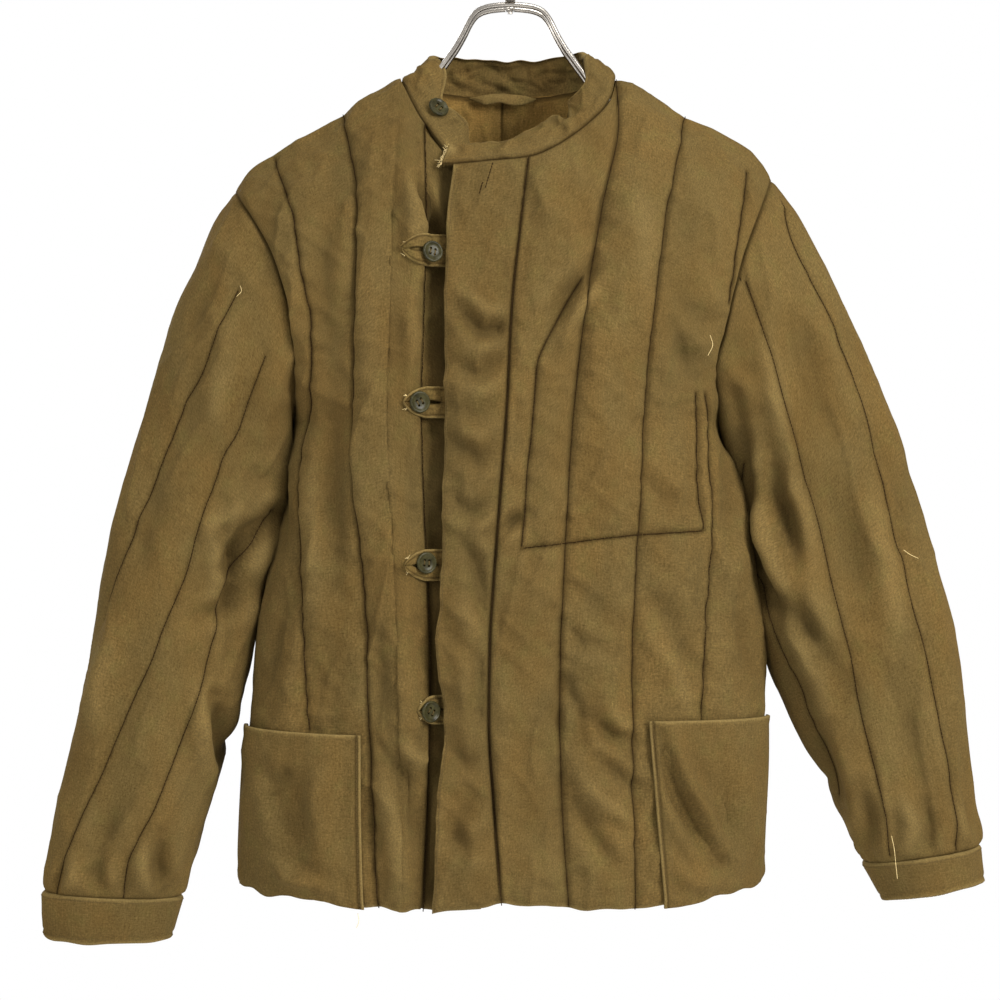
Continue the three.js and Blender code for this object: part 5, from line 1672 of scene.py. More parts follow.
def make_back():
    """The back, quilted in channels that run down from the shoulders."""
    step = bpy.context.scene.jacket_cloth.spacing * 1.15 / MM
    down = rows_down(step)[:, None]
    columns = np.concatenate([
        spaced(0, 1, 150, step)[:-1], spaced(1, 2, 60, step)[:-1], spaced(2, 3, 150, step)[:-1],
        spaced(3, 4, 60, step)[:-1], spaced(4, 5, 150, step),
    ])
    points = back_point(columns[None, :], down)
    thirds = [2 + math.acos(1 - 2 * part) / math.pi for part in (1 / 3, 2 / 3)]
    sewn = [back_point(k, down[:, 0]) for k in (1.0, 2.0, *thirds, 3.0, 4.0)]
    obj, skin = panel("back_cloth", ["back"], points, False, WALL, BACK_FOLDS, sewn,
                      free=(HEM_EDGE,), facing=(0, 1, 0), seed=7)
    declare(points, False)
    rows = [skin.lay(resample(path, THREAD_STEP)[3:-3], QUILTING_LIFT) for path in sewn]
    stitched("back_quilting", rows, "quilting_thread", seed=14)


def make_sleeve(side, step):
    """One sleeve with its cuff. Returns the paths of its quilting and of its topstitching."""
    name = side.name
    w = np.linspace(0, 20, int(SLEEVE_ROUND / step) + 1)[:-1][None, :]
    points = sleeve_point(side, w, sleeve_rows(side, step)[:, None])
    middle = points.mean(axis=1, keepdims=True)
    tree = surface_tree(points, True)
    laid = [cast(tree, shifted(path, face, side), face)
            for path in SLEEVE_LINES[name] for face in ("front", "back")]
    sewn = [path for path in laid if path is not None]
    mirrored = [(shifted(p, "back", side), width * 1.2, height * 0.8)
                for p, width, height in SLEEVE_FOLDS[name]]
    obj, skin = panel(
        f"sleeve_{name}_cloth", [f"sleeve_{name}_front", f"sleeve_{name}_back"], points, True,
        WALL, (SLEEVE_FOLDS[name], mirrored), sewn, away_from=middle, seed=5, dark=0.7,
        hidden=gathers(points) - under_arm(points, middle, side), slant=SLEEVE_SLANT[name])
    declare(points, True)
    quilting = [skin.lay(resample(path, THREAD_STEP)[1:-1], QUILTING_LIFT) for path in sewn]
    return quilting, make_cuff(side, w, step)


def make_sleeves():
    """Both sleeves with their cuffs."""
    step = bpy.context.scene.jacket_cloth.spacing / MM
    quilting, topstitching = [], []
    for side in SIDES.values():
        inner, outer = make_sleeve(side, step)
        quilting += inner
        topstitching += outer
    stitched("sleeve_quilting", quilting, "quilting_thread", seed=15)
    stitched("cuff_topstitching", topstitching, "edge_thread", seed=16)


def shifted(path, face, side):
    """The same run for the hidden side, a little out of step with the front's."""
    if face == "front":
        return path
    sign = 1 if side is LEFT else -1
    return [(x - sign * 7, z + 9) for x, z in path]


def under_arm(points, middle, side):
    """How far the sleeve swells to rest on the body below the armhole."""
    inward = (middle[..., 0] - points[..., 0]) * (1 if side is LEFT else -1)
    swell, lowest_z = UNDERARM_SWELL[side.name]
    z = points[..., 2]
    high = ease((z - lowest_z) / 90) * ease((SWELL_TOP - z) / 30)
    return swell * high * ease(inward / 40 - 0.35)


def gathers(points):
    """How far the sleeve is drawn in above its cuff, unevenly round it."""
    gone = edge_distance(points, 0, -1)
    ripple = 0.9 * waves(points * (1, 1, 0.25), 17, 41) + 0.4 * waves(points * (1, 1, 0.3), 9, 42)
    drawn = 1.5 * ripple * np.exp(-((gone / 26) ** 2)) * ease(gone / 4)
    return -drawn - 1.8 * np.exp(-(((gone - 15) / 11) ** 2))


def sleeve_rows(side, step):
    """Places down the sleeve that are evenly apart on the cloth."""
    fine = np.linspace(0, 13, 260)
    runs = runs_along(sleeve_point(side, 5.0, fine))
    return np.interp(np.linspace(0, runs[-1], int(runs[-1] / step)), runs, fine)


def make_cuff(side, w, step):
    """A plain turned-up cuff band. Returns the paths of its topstitching."""
    v = spaced(0, 1, 40, step * 0.7, ends=(1, 1))[:, None]
    points = cuff_point(side, w, v)
    points = raised(points, 1.3 * waves(points * (1, 1, 0), 34, 43) * ease(v))
    hem, top = edge_distance(points, 0, -1), edge_distance(points, 0, 0)
    hidden = 0.8 * np.exp(-(((hem - 5) / 1.6) ** 2)) - 0.6 - ease(top / 3)
    obj, skin = panel(
        f"cuff_{side.name}_cloth", [f"cuff_{side.name}"], points, True, CUFF_WALL, ([], []), [],
        away_from=points.mean(axis=1, keepdims=True), free=((0, 0), HEM_EDGE), seed=6,
        calm=0.4, soil_and_shadow=CUFF_SOIL, hidden=hidden, lining="outer_cotton", rolled_by=1.7)
    declare(points, True)
    rows = []
    for distance in CUFF_ROWS:
        ring = inset(points, 0, distance)
        ring = np.concatenate([ring, ring[:1]])
        rows.append(skin.lay(resample(ring, THREAD_STEP), THREAD_LIFT))
    return rows


# ------------------------------------------------------------------ the neck

COLLAR_LEAN = {"front": 28, "back": 9}
COLLAR_TURN = {"under": 1.3, "over": 3.0}
COLLAR_RISE = {"front": 19, "back": 33}
COLLAR_END = 10.0
COLLAR_WAVES = [  # where on the seam it bends, how far it leans there, its rise, and its width
    (-88, 0.25, 0.10, 9), (-74, -0.2, -0.12, 8), (-58, 0.18, 0.12, 9), (-38, -0.14, -0.1, 9),
    (-4, -0.12, -0.1, 14), (22, 0.1, 0.45, 15), (39, 0.3, 0.4, 9), (54, -0.5, -0.2, 6),
    (66, 0.35, 0.2, 8), (82, -0.2, 0.08, 8),
]


def neck_seam(step):
    """The seam from the under front's edge round the back to the over front's edge."""
    t = np.linspace(0, 2, 120)
    under = front_point(RIGHT, t[:-1], 0.0)
    behind = back_point(np.linspace(2, 3, 120), 0.0)
    over = front_point(LEFT, t[::-1][1:], 0.0)
    past = over[-1:] - (COLLAR_END, 0.5, 0.0)
    return resample(np.concatenate([under, behind, over, past]), step)


def collar_points(seam, up):
    """The stand collar over its seam: it leans in at the front and stands at the back."""
    behind = ease((seam[:, 1] + 5) / 55)
    across = seam[:, 0] / 92
    under = np.arange(len(seam)) < len(seam) / 2
    power = np.where(under, COLLAR_TURN["under"], COLLAR_TURN["over"])
    inward = np.stack([-np.sign(across) * np.abs(across) ** power, -(seam[:, 1] + 8) / 55,
                       np.zeros(len(seam))], axis=-1)
    inward /= np.linalg.norm(inward, axis=1)[:, None]
    lean = mix(COLLAR_LEAN["front"], COLLAR_LEAN["back"], behind)
    rise = mix(COLLAR_RISE["front"], COLLAR_RISE["back"], behind)
    front = ease((10 - seam[:, 1]) / 14)
    for at, leans, rises, wide in COLLAR_WAVES:
        near = np.exp(-(((seam[:, 0] - at) / wide) ** 2)) * front
        lean = lean * (1 + leans * near)
        rise = rise * (1 + rises * near)
    up = up[:, None, None]
    lifted = np.zeros((1, len(seam), 3))
    lifted[0, :, 2] = rise
    return seam[None] + inward[None] * lean[None, :, None] * up + lifted * up ** 0.9


def collar_relief(points, high, edge, foot):
    """How far the collar stands off its form, from the distances to its edge and its seam."""
    full = np.sin(np.pi * np.clip(high, 0, 1)) ** 0.5
    lift = 1.3 * waves(points * (1, 1, 0.2), 30, 51) * high ** 1.5
    rumpled = waves(points, 18, 52) + 2.7 * creases(points * (1, 1, 0.7), 24, 53)
    lift = lift + (rumpled + 2.4) * full - rolled(edge, 2.4)
    return lift - np.exp(-((foot / 2.5) ** 2)) - 0.5 * np.exp(-(((edge - 4) / 1.3) ** 2))


def make_collar():
    """The stand collar: soft, wavy along its top, frayed where its over end lies."""
    settings = bpy.context.scene.jacket_cloth
    step = settings.spacing * 0.76 / MM
    up = spaced(0, 1, 40, step, ends=(1, 1))[::-1]
    points = collar_points(neck_seam(step), up)
    for _ in range(3):
        points[:, 1:-1] = (points[:, :-2] + 2 * points[:, 1:-1] + points[:, 2:]) / 4
    normal, flip = outward(points, False, away_from=np.array(NECK_MIDDLE))
    high = up[:, None]
    foot = edge_distance(points, 0, -1)
    edge = np.minimum(edge_distance(points, 1, -1), edge_distance(points, 1, 0))
    edge = np.minimum(edge_distance(points, 0, 0), edge)
    outer = points + normal * collar_relief(points, high, edge, foot)[..., None]
    outer = raised(outer, 1.3 * waves(points * (1, 1, 0), 24, 54) * high)
    inside = 2.5 * creases(points * (0.6, 1, 1.5), 26, 55) + 0.8 * waves(points, 15, 56)
    inner = outer - normal * (COLLAR_WALL - 0.9 - inside * np.sin(np.pi * high))[..., None]
    torn = np.linalg.norm(points - outer[len(up) // 2, -1], axis=-1)
    marks = {"sewn": 0.9 * np.exp(-(((foot + 0.4) / (settings.line_width / MM)) ** 2)),
             "worn": np.maximum(0.8 * np.exp(-((edge / 1.8) ** 2)), np.exp(-((torn / 9) ** 2))),
             "stain": 0.05 * ease(0.5 + waves(points, 40, 57))}
    obj = shell("collar_cloth", outer, inner, flip, False, [material("outer_cotton")], marks, 1)
    piece(obj, "cloth", "collar")
    declare(points, False)
    sew_collar(points, outer)


def sew_collar(points, outer):
    """Topstitching along the collar's top, seam and over end, and the threads frayed there."""
    tree = FINISHED["collar"] = surface_tree(outer, False)
    lanes = ((inset(points, 0, COLLAR_STITCH), 3),
             (inset(points[::-1], 0, COLLAR_SEAM_STITCH), 3),
             (inset(points[:, ::-1], 1, COLLAR_STITCH), 1))
    rows = [settle(tree, resample(lane, THREAD_STEP)[short:-short], THREAD_LIFT)
            for lane, short in lanes]
    stitched("collar_stitching", rows, "edge_thread", seed=17)
    starts = [(spot, (-0.7, -0.5, 0.1)) for spot in outer[1:-1, -1]] * 3
    loose_ends("collar_fraying", starts, 61, 4.0)


LOOP = {"from_x": -36, "to_x": 23, "deep": 11, "stands": 7, "thick": 2.4, "z": -138, "arch": 3}


def make_neck_lining():
    """The lining that shows behind the neck, and the hanging loop sewn over it."""
    u = np.linspace(2.08, 2.92, 110)[None, :]
    v = np.linspace(-0.004, 0.16, 60)[:, None]
    points = back_point(u, v)
    normal, flip = outward(points, False, facing=(0, 1, 0))
    from_collar = edge_distance(points, 0, 0)
    tuck = LINING_TUCK * np.exp(-((from_collar / 2.0) ** 2))
    behind = points - normal * (WALL + LINING_GAP - tuck)[..., None]
    from_seam, from_pleat = points[..., 0] - LINING_SEAM_X, points[..., 0] - LINING_PLEAT_X
    wrinkle = 2.0 * creases(points * (1, 1, 0.7), 25, 71) + waves(points, 34, 72)
    wrinkle -= 1.3 * np.exp(-((from_seam / 2.2) ** 2)) + 0.5 * np.exp(-((from_pleat / 2) ** 2))
    face = behind - normal * wrinkle[..., None]
    line = np.minimum(np.abs(from_seam), np.abs(from_pleat) + 0.9)
    # painted shade on the strip of lining just under the collar's seam, drawn with the sewn lines' dark
    ledge_shade = np.exp(-((from_collar / 4.0) ** 2))
    marks = {"sewn": np.maximum(np.exp(-((line / 0.9) ** 2)), ledge_shade), "worn": 0 * line,
             "stain": 0 * line}
    obj = shell("neck_lining", face - normal * LINING_WALL, face, not flip, False,
                [material("lining_cotton")], marks, 2)
    piece(obj, "lining", "lining_back")
    declare(points, False)
    make_hanging_loop()


def make_hanging_loop():
    """A rolled tab of the outer cloth, slack between its two sewn ends."""
    u = np.linspace(0, 1, 46)[:, None]
    turn = np.linspace(0, 2 * np.pi, 25)[:-1][None, :]
    bow = np.sin(np.pi * u)
    x = mix(LOOP["from_x"], LOOP["to_x"], u) + 0 * turn
    back = depth("back", x, np.full(x.shape, float(LOOP["z"]))) - 13
    dent = 1 - 0.3 * np.exp(-(((u - 0.45) / 0.14) ** 2))
    half = LOOP["deep"] * mix(0.05, 0.5, bow ** 0.7) * dent
    y = back - LOOP["stands"] * bow - LOOP["thick"] * 0.5 * (1 + np.cos(turn))
    z = LOOP["z"] + LOOP["arch"] * bow - half + half * np.sin(turn)
    points = np.stack([x, y, z], axis=-1)
    points = points + 0.35 * waves(points, 12, 75)[..., None]
    middle = points.mean(axis=1, keepdims=True)
    flip = outward(points, True, away_from=middle)[1]
    marks = {"sewn": 0 * x, "worn": 0.4 + 0 * x, "stain": 0 * x}
    obj = shell("hanging_loop_cloth", points, mix(middle, points, 0.5), flip, True,
                [material("outer_cotton")], marks, 2)
    piece(obj, "cloth", "hanging_loop")
    declare(points, True)


# ------------------------------------------------------------------ loops and buttons


def under_front_y(x, z):
    """Where the right front's face is."""
    return lap_back(x, z) - depth("front", x, z)


def tab_back(tab):
    """Where the back of a button loop is: it leans out past the over front's edge."""
    root_x = float(OVER_EDGE.at(tab["tip_z"])) + TAB_ROOT
    bend_x = root_x - TAB_BEND

    def at(x, z):
        root = under_front_y(np.full(np.shape(z), root_x), z) - TAB_LIFT["root"]
        tip = under_front_y(np.full(np.shape(z), tab["tip_x"]), z) - PUFF - TAB_LIFT["tip"]
        return mix(root, tip, np.maximum((x - bend_x) / (tab["tip_x"] - bend_x), 0))

    return root_x, at


def resting_on(trees, x, z, plain):
    """The plain depth, moved out where the finished cloth would come through it."""
    out = plain.copy()
    for spot in np.ndindex(x.shape):
        for tree in trees:
            hit = tree.ray_cast(Vector((x[spot], -FAR, z[spot])), Vector((0, 1, 0)))[0]
            if hit is not None:
                out[spot] = min(out[spot], hit.y - LOOP_GAP)
    for axis in (0, 1):
        for _ in range(5):
            ends = [np.take(out, [end], axis=axis) for end in (0, -1)]
            wide = np.concatenate([ends[0], out, ends[1]], axis=axis)
            lanes = [np.take(wide, range(k, k + out.shape[axis]), axis=axis) for k in range(3)]
            out = np.minimum(out, (lanes[0] + 2 * lanes[1] + lanes[2]) / 4)
    return out


def loop_form(tab, sign):
    """The grid of the half loop above or below the slit, and how open the slit is along it."""
    root_x, at = tab_back(tab)
    long, half = root_x - tab["tip_x"], tab["tall"] / 2
    a = spaced(0, 1, long, LOOP_STEP, ends=(0, 1))
    b = spaced(0, 1, half, LOOP_STEP, ends=(1, 1))[:, None]
    tip = np.clip((a - 0.48) / 0.52, 0, 1)
    outline = half * ((1 - tip ** 1.9) ** 0.72 + 0.02)
    slit = 1.3 * np.sqrt(np.clip(1 - ((a - 0.53) / 0.3) ** 2, 0, 1))
    x = root_x - long * a[None, :] + 0 * b
    z = tab["tip_z"] + sign * mix(slit[None, :], np.maximum(outline, slit + 0.3)[None, :], b)
    y = resting_on(FINISHED["right"], x, z, at(x, z))
    return np.stack([x, y, z], axis=-1), b, slit


def loop_half(number, tab, sign):
    """One half of a button loop. Returns the piece, its stitching and where it frays."""
    points, b, slit = loop_form(tab, sign)
    normal, flip = outward(points, False, facing=FRONTWARD)
    edge = edge_distance(points, 0, -1)
    eye = edge_distance(points, 0, 0) + np.where(slit > 0.2, 0, 9)
    bulge = 1.4 * np.sin(np.pi * b) ** 0.6 + 0.4 * waves(points, 7, 80 + number)
    lift = TAB_WALL + bulge - rolled(np.minimum(edge, eye), 1.0)
    lift -= 0.45 * np.exp(-(((edge - LOOP_STITCH) / 0.8) ** 2))
    outer = points + normal * lift[..., None]
    sewn = 0.7 * np.exp(-(((edge - LOOP_STITCH) / 0.7) ** 2)) + 0.8 * np.exp(-((eye / 0.8) ** 2))
    marks = {"sewn": sewn, "worn": 0.9 * np.exp(-((edge / 1.3) ** 2)), "stain": 0 * edge}
    name = f"loop_{number + 1}_{'upper' if sign > 0 else 'lower'}"
    obj = shell(name, outer, points, flip, False, [material("outer_cotton")], marks, 1)
    tree = surface_tree(outer, False)
    FINISHED["loops"].append(tree)
    path = [points[np.argmin(np.abs(edge[:, i] - LOOP_STITCH)), i]
            for i in range(0, points.shape[1] - 6, 2)]
    return obj, settle(tree, resample(path, 1.2), THREAD_LIFT), outer[-1, -8]


def make_loops():
    """The four pointed loops: a folded strip round a slit, sewn down along its edges."""
    rows, frays = [], []
    for number in range(len(TABS["tip_x"])):
        tab = {name: float(values[number]) for name, values in TABS.items()}
        pieces = []
        for sign in (1, -1):
            half, row, worn_end = loop_half(number, tab, sign)
            pieces.append(half)
            rows.append(row)
            frays.append((worn_end, (-0.8, -0.3, sign * 0.4)))
        obj = joined(f"loop_{number + 1}_cloth", pieces)
        piece(obj, "cloth", f"tab_{number + 1}")
        long, tall = tab_back(tab)[0] - tab["tip_x"], tab["tall"]
    stitched("loop_stitching", rows, "edge_thread", pitch=0.0022, seed=18)
    loose_ends("loop_fraying", frays * 4, 62, 3.2)


BUTTON_FORM = table("radius out", [
    (0, 0), (0.7, 0), (0.9, 0.35), (1, 1.2), (1, 2.2), (0.965, 2.85), (0.9, 3.15), (0.83, 3.1),
    (0.74, 2.6), (0.66, 2.25), (0.4, 2.1), (0, 2.05),
])
BUTTON_SIDES = 56
BUTTON_SINK = 0.5
BUTTON_HOLE = {"radius": 1.15, "from_middle": 2.1}
BUTTON_SPINS = {"button_1": 12, "button_2": -28, "button_3": 6, "button_4": 31,
                "button_collar": 40}


def button_disc(name):
    """A button with no holes: a rolled rim round a shallow dish."""
    turn = 2 * np.pi * np.arange(BUTTON_SIDES) / BUTTON_SIDES
    radius = BUTTON_RADIUS * BUTTON_FORM["radius"][:, None]
    out = BUTTON_FORM["out"][:, None] + 0 * turn
    verts = np.stack([radius * np.cos(turn), -out, radius * np.sin(turn)], axis=-1)
    ids = np.arange(out.size).reshape(out.shape)
    disc = new_object(name, verts.reshape(-1, 3), quads(wrapped(ids), False),
                      [material("button_plastic")])
    weld = disc.modifiers.new("weld", "WELD")
    weld.merge_threshold = 1e-5
    return facing_out(baked(disc, name))


def button_mesh(name):
    """A button with its four holes bored through."""
    disc = button_disc(name)
    off = BUTTON_HOLE["from_middle"]
    for k, (x, z) in enumerate(((off, off), (off, -off), (-off, off), (-off, -off))):
        bore = facing_out(tube(f"bore_{k}", [(x, 2, z), (x, -6, z)], BUTTON_HOLE["radius"], 18,
                               False, material("button_plastic")))
        cut = disc.modifiers.new(f"hole_{k}", "BOOLEAN")
        cut.operation, cut.solver, cut.object = "DIFFERENCE", "EXACT", bore
        disc = baked(disc, name)
        bpy.data.objects.remove(bore)
    smooth_by_angle(disc, 38)
    return disc


def facing_out(obj):
    """The same closed mesh with its faces turned outwards."""
    work = bmesh.new()
    work.from_mesh(obj.data)
    bmesh.ops.remove_doubles(work, verts=work.verts, dist=1e-6)
    bmesh.ops.recalc_face_normals(work, faces=work.faces)
    work.to_mesh(obj.data)
    work.free()
    return obj


def smooth_by_angle(obj, degrees):
    """Smooth faces with the sharp edges kept."""
    obj.data.polygons.foreach_set("use_smooth", [True] * len(obj.data.polygons))
    obj.data.set_sharp_from_angle(angle=math.radians(degrees))


def seat_of(node):
    """The middle and the facing of a flat CAD piece, from its points."""
    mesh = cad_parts[node]
    pts = np.array([mesh.matrix_world @ v.co for v in mesh.data.vertices]) / MM
    middle = (pts.min(axis=0) + pts.max(axis=0)) / 2
    _, _, axes = np.linalg.svd(pts - pts.mean(axis=0), full_matrices=False)
    way = axes[2] * (-1 if axes[2][1] > 0 else 1)
    back = (pts @ way).min()
    return middle + way * (back - middle @ way), way


def seated(seat, way, trees):
    """The seat moved out until the button's back clears the cloth under it."""
    side = np.cross(way, (0.0, 0.0, 1.0))
    up = np.cross(side, way)
    highest = 0.0
    for turn in np.linspace(0, 2 * math.pi, 24, endpoint=False):
        for part in (0.3, 0.65, 0.95):
            spot = seat + BUTTON_RADIUS * part * (side * math.cos(turn) + up * math.sin(turn))
            for tree in trees:
                hit = tree.ray_cast(Vector(spot + way * 15), Vector(-way), 20)[0]
                if hit is not None:
                    highest = max(highest, float((np.array(hit) - seat) @ way))
    return seat + way * max(highest - BUTTON_SINK, 0)


def button_turn(way, degrees):
    """The turn that faces a button along its seat and spins it on its thread."""
    faced = Vector(FRONTWARD).rotation_difference(Vector(way)).to_matrix()
    c, s = math.cos(math.radians(degrees)), math.sin(math.radians(degrees))
    return np.array(faced) @ np.array([[c, 0, s], [0, 1, 0], [-s, 0, c]])


def button_threads(number, turn, seat):
    """The thread through a button's four holes, and the shank wound under it."""
    off = BUTTON_HOLE["from_middle"]
    tubes = []
    for x in (off - 0.22, off + 0.22, -off - 0.22, 0.22 - off):
        run = [(x, 0.6, -off), (x, -1.9, -off * 0.8), (x, -2.35, 0), (x, -1.9, off * 0.8),
               (x, 0.6, off)]
        path = smooth_path(np.array(run) @ turn.T + seat, 0.6)
        tubes.append(tube(f"shank_{number}_{x}", path, 0.2, 6, False, material("edge_thread")))
    stem = np.array([(0, 0.2, 0), (0, 2.8, 0)]) @ turn.T + seat
    tubes.append(tube(f"neck_{number}", stem, 1.4, 10, False, material("quilting_thread")))
    return tubes


def make_buttons():
    """Five dark green buttons, each sewn on through its four holes."""
    on_loops = [*FINISHED["loops"], *FINISHED["right"]]
    threads = []
    for number, (node, degrees) in enumerate(BUTTON_SPINS.items()):
        seat, way = seat_of(node)
        seat = seated(seat, way, [FINISHED["collar"]] if node == "button_collar" else on_loops)
        turn = button_turn(way, degrees)
        disc = button_mesh(f"{node}_disc")
        coords = np.empty(len(disc.data.vertices) * 3)
        disc.data.vertices.foreach_get("co", coords)
        coords = coords.reshape(-1, 3) @ turn.T + seat * MM
        disc.data.vertices.foreach_set("co", coords.ravel())
        disc.data.update()
        piece(disc, "buttons", node)
        threads += button_threads(number, turn, seat)
    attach(joined("button_threads", threads), "root")


# ------------------------------------------------------------------ the hanger


def wire_path():
    """The hanger's wire: a front run and a rear run, bent into each other at the ends."""
    half = [(x, z) for x, z in zip(WIRE["x"], WIRE["z"])]
    shoulder = np.arange(112, WIRE_END_X + 1, 18)

    def arm(sign):
        run = [(sign * x, z) for x, z in half]
        return run + [(sign * x, float(RIDGE_Z(sign * x)) - WIRE_UNDER) for x in shoulder]

    across = arm(-1)[::-1] + arm(1)[1:]
    front = [(x, -WIRE_APART, z) for x, z in across]
    rear = [(x, WIRE_APART, z) for x, z in across[::-1]]

    def bend(end, start):
        x, z = end
        turns = math.pi * np.arange(1, 8) / 8
        reach = WIRE_APART * np.sin(turns) * np.sign(x)
        return [(x + r, start * WIRE_APART * math.cos(t), z - abs(r) * 0.9)
                for r, t in zip(reach, turns)]

    return front + bend(across[-1], -1) + rear + bend(across[0], 1)


def loop_curve(points, step):
    """A closed path through points, rounded at each of them."""
    points = np.asarray(points, float)
    count = len(points)
    out = []
    for k in range(count):
        p0, p1, p2, p3 = (points[(k + i) % count] for i in (-1, 0, 1, 2))
        steps = max(int(np.linalg.norm(p2 - p1) / step), 1)
        for t in np.arange(steps) / steps:
            out.append(0.5 * (2 * p1 + (p2 - p0) * t + (2 * p0 - 5 * p1 + 4 * p2 - p3) * t ** 2
                              + (3 * p1 - p0 - 3 * p2 + p3) * t ** 3))
    return out


def hook_path():
    """The hook's round bend over its neck and stem."""
    pitch = HOOK_RADIUS + STEM_RADIUS
    middle = STEM_RADIUS - pitch
    turns = -0.28 * math.pi + 1.28 * math.pi * np.linspace(0, 1, 40)
    bend = [(pitch * math.cos(t), 0, middle + pitch * math.sin(t)) for t in turns]
    neck = smooth_path([(0, 0, -71), (0, 0, -58), (0, 0, -48), (0.8, 0, -44.5), (4, 0, -40.5),
                        bend[0]], 1.5)
    return np.concatenate([neck[:-1], bend])


def make_hanger():
    """The wire hanger: two long wires joined at their ends, a plate, a nut and the hook."""
    metal = material("chromed_wire")
    wire = tube("hanger_wires", loop_curve(wire_path(), 3.0), WIRE_RADIUS, 16, True, metal)
    hook = tube("hanger_hook_bar", hook_path(), STEM_RADIUS, 20, False, metal)
    smooth_by_angle(hook, 50)
    piece(facing_out(wire), "chrome", "hanger_wire")
    piece(facing_out(hook), "chrome", "hanger_hook")
    for node in ("hanger_plate", "hanger_nut"):
        copy = bpy.data.objects.new(node + "_metal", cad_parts[node].data.copy())
        bpy.context.scene.collection.objects.link(copy)
        copy.data.materials.clear()
        copy.data.materials.append(metal)
        bevel = facing_out(copy).modifiers.new("bevel", "BEVEL")
        bevel.width, bevel.segments, bevel.limit_method = 0.0005, 3, "ANGLE"
        bevel.angle_limit = math.radians(40)
        solid = baked(copy, node + "_metal")
        smooth_by_angle(solid, 40)
        piece(solid, "chrome", node)


# ------------------------------------------------------------------ worn threads

STRAYS = [
    ([(319, -68, -770), (321, -71, -782), (322.5, -70, -796), (324, -67, -806)], 0.22),
    ([(-126, -101, -830), (-125, -102, -836), (-127, -102, -842)], 0.22),
    ([(330, -62, -531), (336, -61, -535), (343, -57, -538)], 0.2),
    ([(-228, -52, -307), (-226, -56, -313), (-230, -57, -318)], 0.2),
    ([(166, -84, -352), (168, -87, -360), (164, -87, -369)], 0.2),
]


def make_stray_threads():
    """A few loose threads at the seams."""
    strands = [tube(f"stray_{k}", smooth_path(path, 1.0), radius, 5, False,
                    material("loose_thread")) for k, (path, radius) in enumerate(STRAYS)]
    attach(joined("stray_threads", strands), "root")


# ------------------------------------------------------------------ the stage

LAMPS = {  # where each lamp stands, and how wide it is
    "key": ((2.5, -2.6, 0.75), 1.5), "fill": ((-1.9, -1.9, 0.1), 1.6),
    "top": ((0.5, -1.3, 1.7), 1.0), "rear": ((-0.8, 2.3, 0.3), 1.6),
}
LAMPS_AIM = (0, 0, -0.5)
CAMERA_PLACE = (-0.0086, -2.5, -0.489)
FLOOR = [(-2500, -1800, -1700), (2500, -1800, -1700), (2500, 1500, -1700), (-2500, 1500, -1700)]


def make_stage():
    """A white studio: a pale floor, a bright surround and four soft lamps."""
    scene = bpy.context.scene
    stage = scene.jacket_stage
    world = bpy.data.worlds.new("white_studio")
    world.use_nodes = True
    backdrop = world.node_tree.nodes["Background"]
    backdrop.inputs[0].default_value = (1, 1, 1, 1)
    backdrop.inputs[1].default_value = stage.surround
    scene.world = world
    new_object("floor", FLOOR, [(0, 1, 2, 3)], [pale_floor()], smooth=False)
    for name, (place, size) in LAMPS.items():
        lamp = bpy.data.lights.new(name, "AREA")
        lamp.energy, lamp.size = getattr(stage, name), size
        obj = bpy.data.objects.new(name, lamp)
        scene.collection.objects.link(obj)
        obj.location = place
        target = Vector(LAMPS_AIM) - Vector(place)
        obj.rotation_euler = target.to_track_quat("-Z", "Y").to_euler()
    camera = bpy.data.objects.new("camera", bpy.data.cameras.new("camera"))
    camera.location = CAMERA_PLACE
    camera.rotation_euler = (math.pi / 2, 0, 0)
    camera.data.sensor_width = 36
    camera.data.lens = stage.lens
    scene.collection.objects.link(camera)
    scene.camera = camera
    scene.view_settings.view_transform = "Standard"


def pale_floor():
    """A pale matt floor with a faint mottle."""
    nodes = Nodes("pale_floor")
    mottle = nodes.noise(nodes.place(), 3, 2, 0.5)
    tone = nodes.blend(mottle, (0.86, 0.86, 0.86, 1), (0.9, 0.9, 0.9, 1))
    return nodes.finish(tone, 0.8)


# ------------------------------------------------------------------ the add-on


def colour_setting(name, description, default):
    return FloatVectorProperty(name=name, description=description, subtype="COLOR", size=3,
                               min=0, max=1, default=default)


def length_setting(name, description, least, most, default):
    return FloatProperty(name=name, description=description, unit="LENGTH", min=least,
                         max=most, default=default)


def part_setting(name, description, least, most, default):
    return FloatProperty(name=name, description=description, subtype="FACTOR", min=least,
                         max=most, default=default)


def power_setting(name, description, default):
    return FloatProperty(name=name, description=description, unit="POWER", min=0, max=2000,
                         default=default)


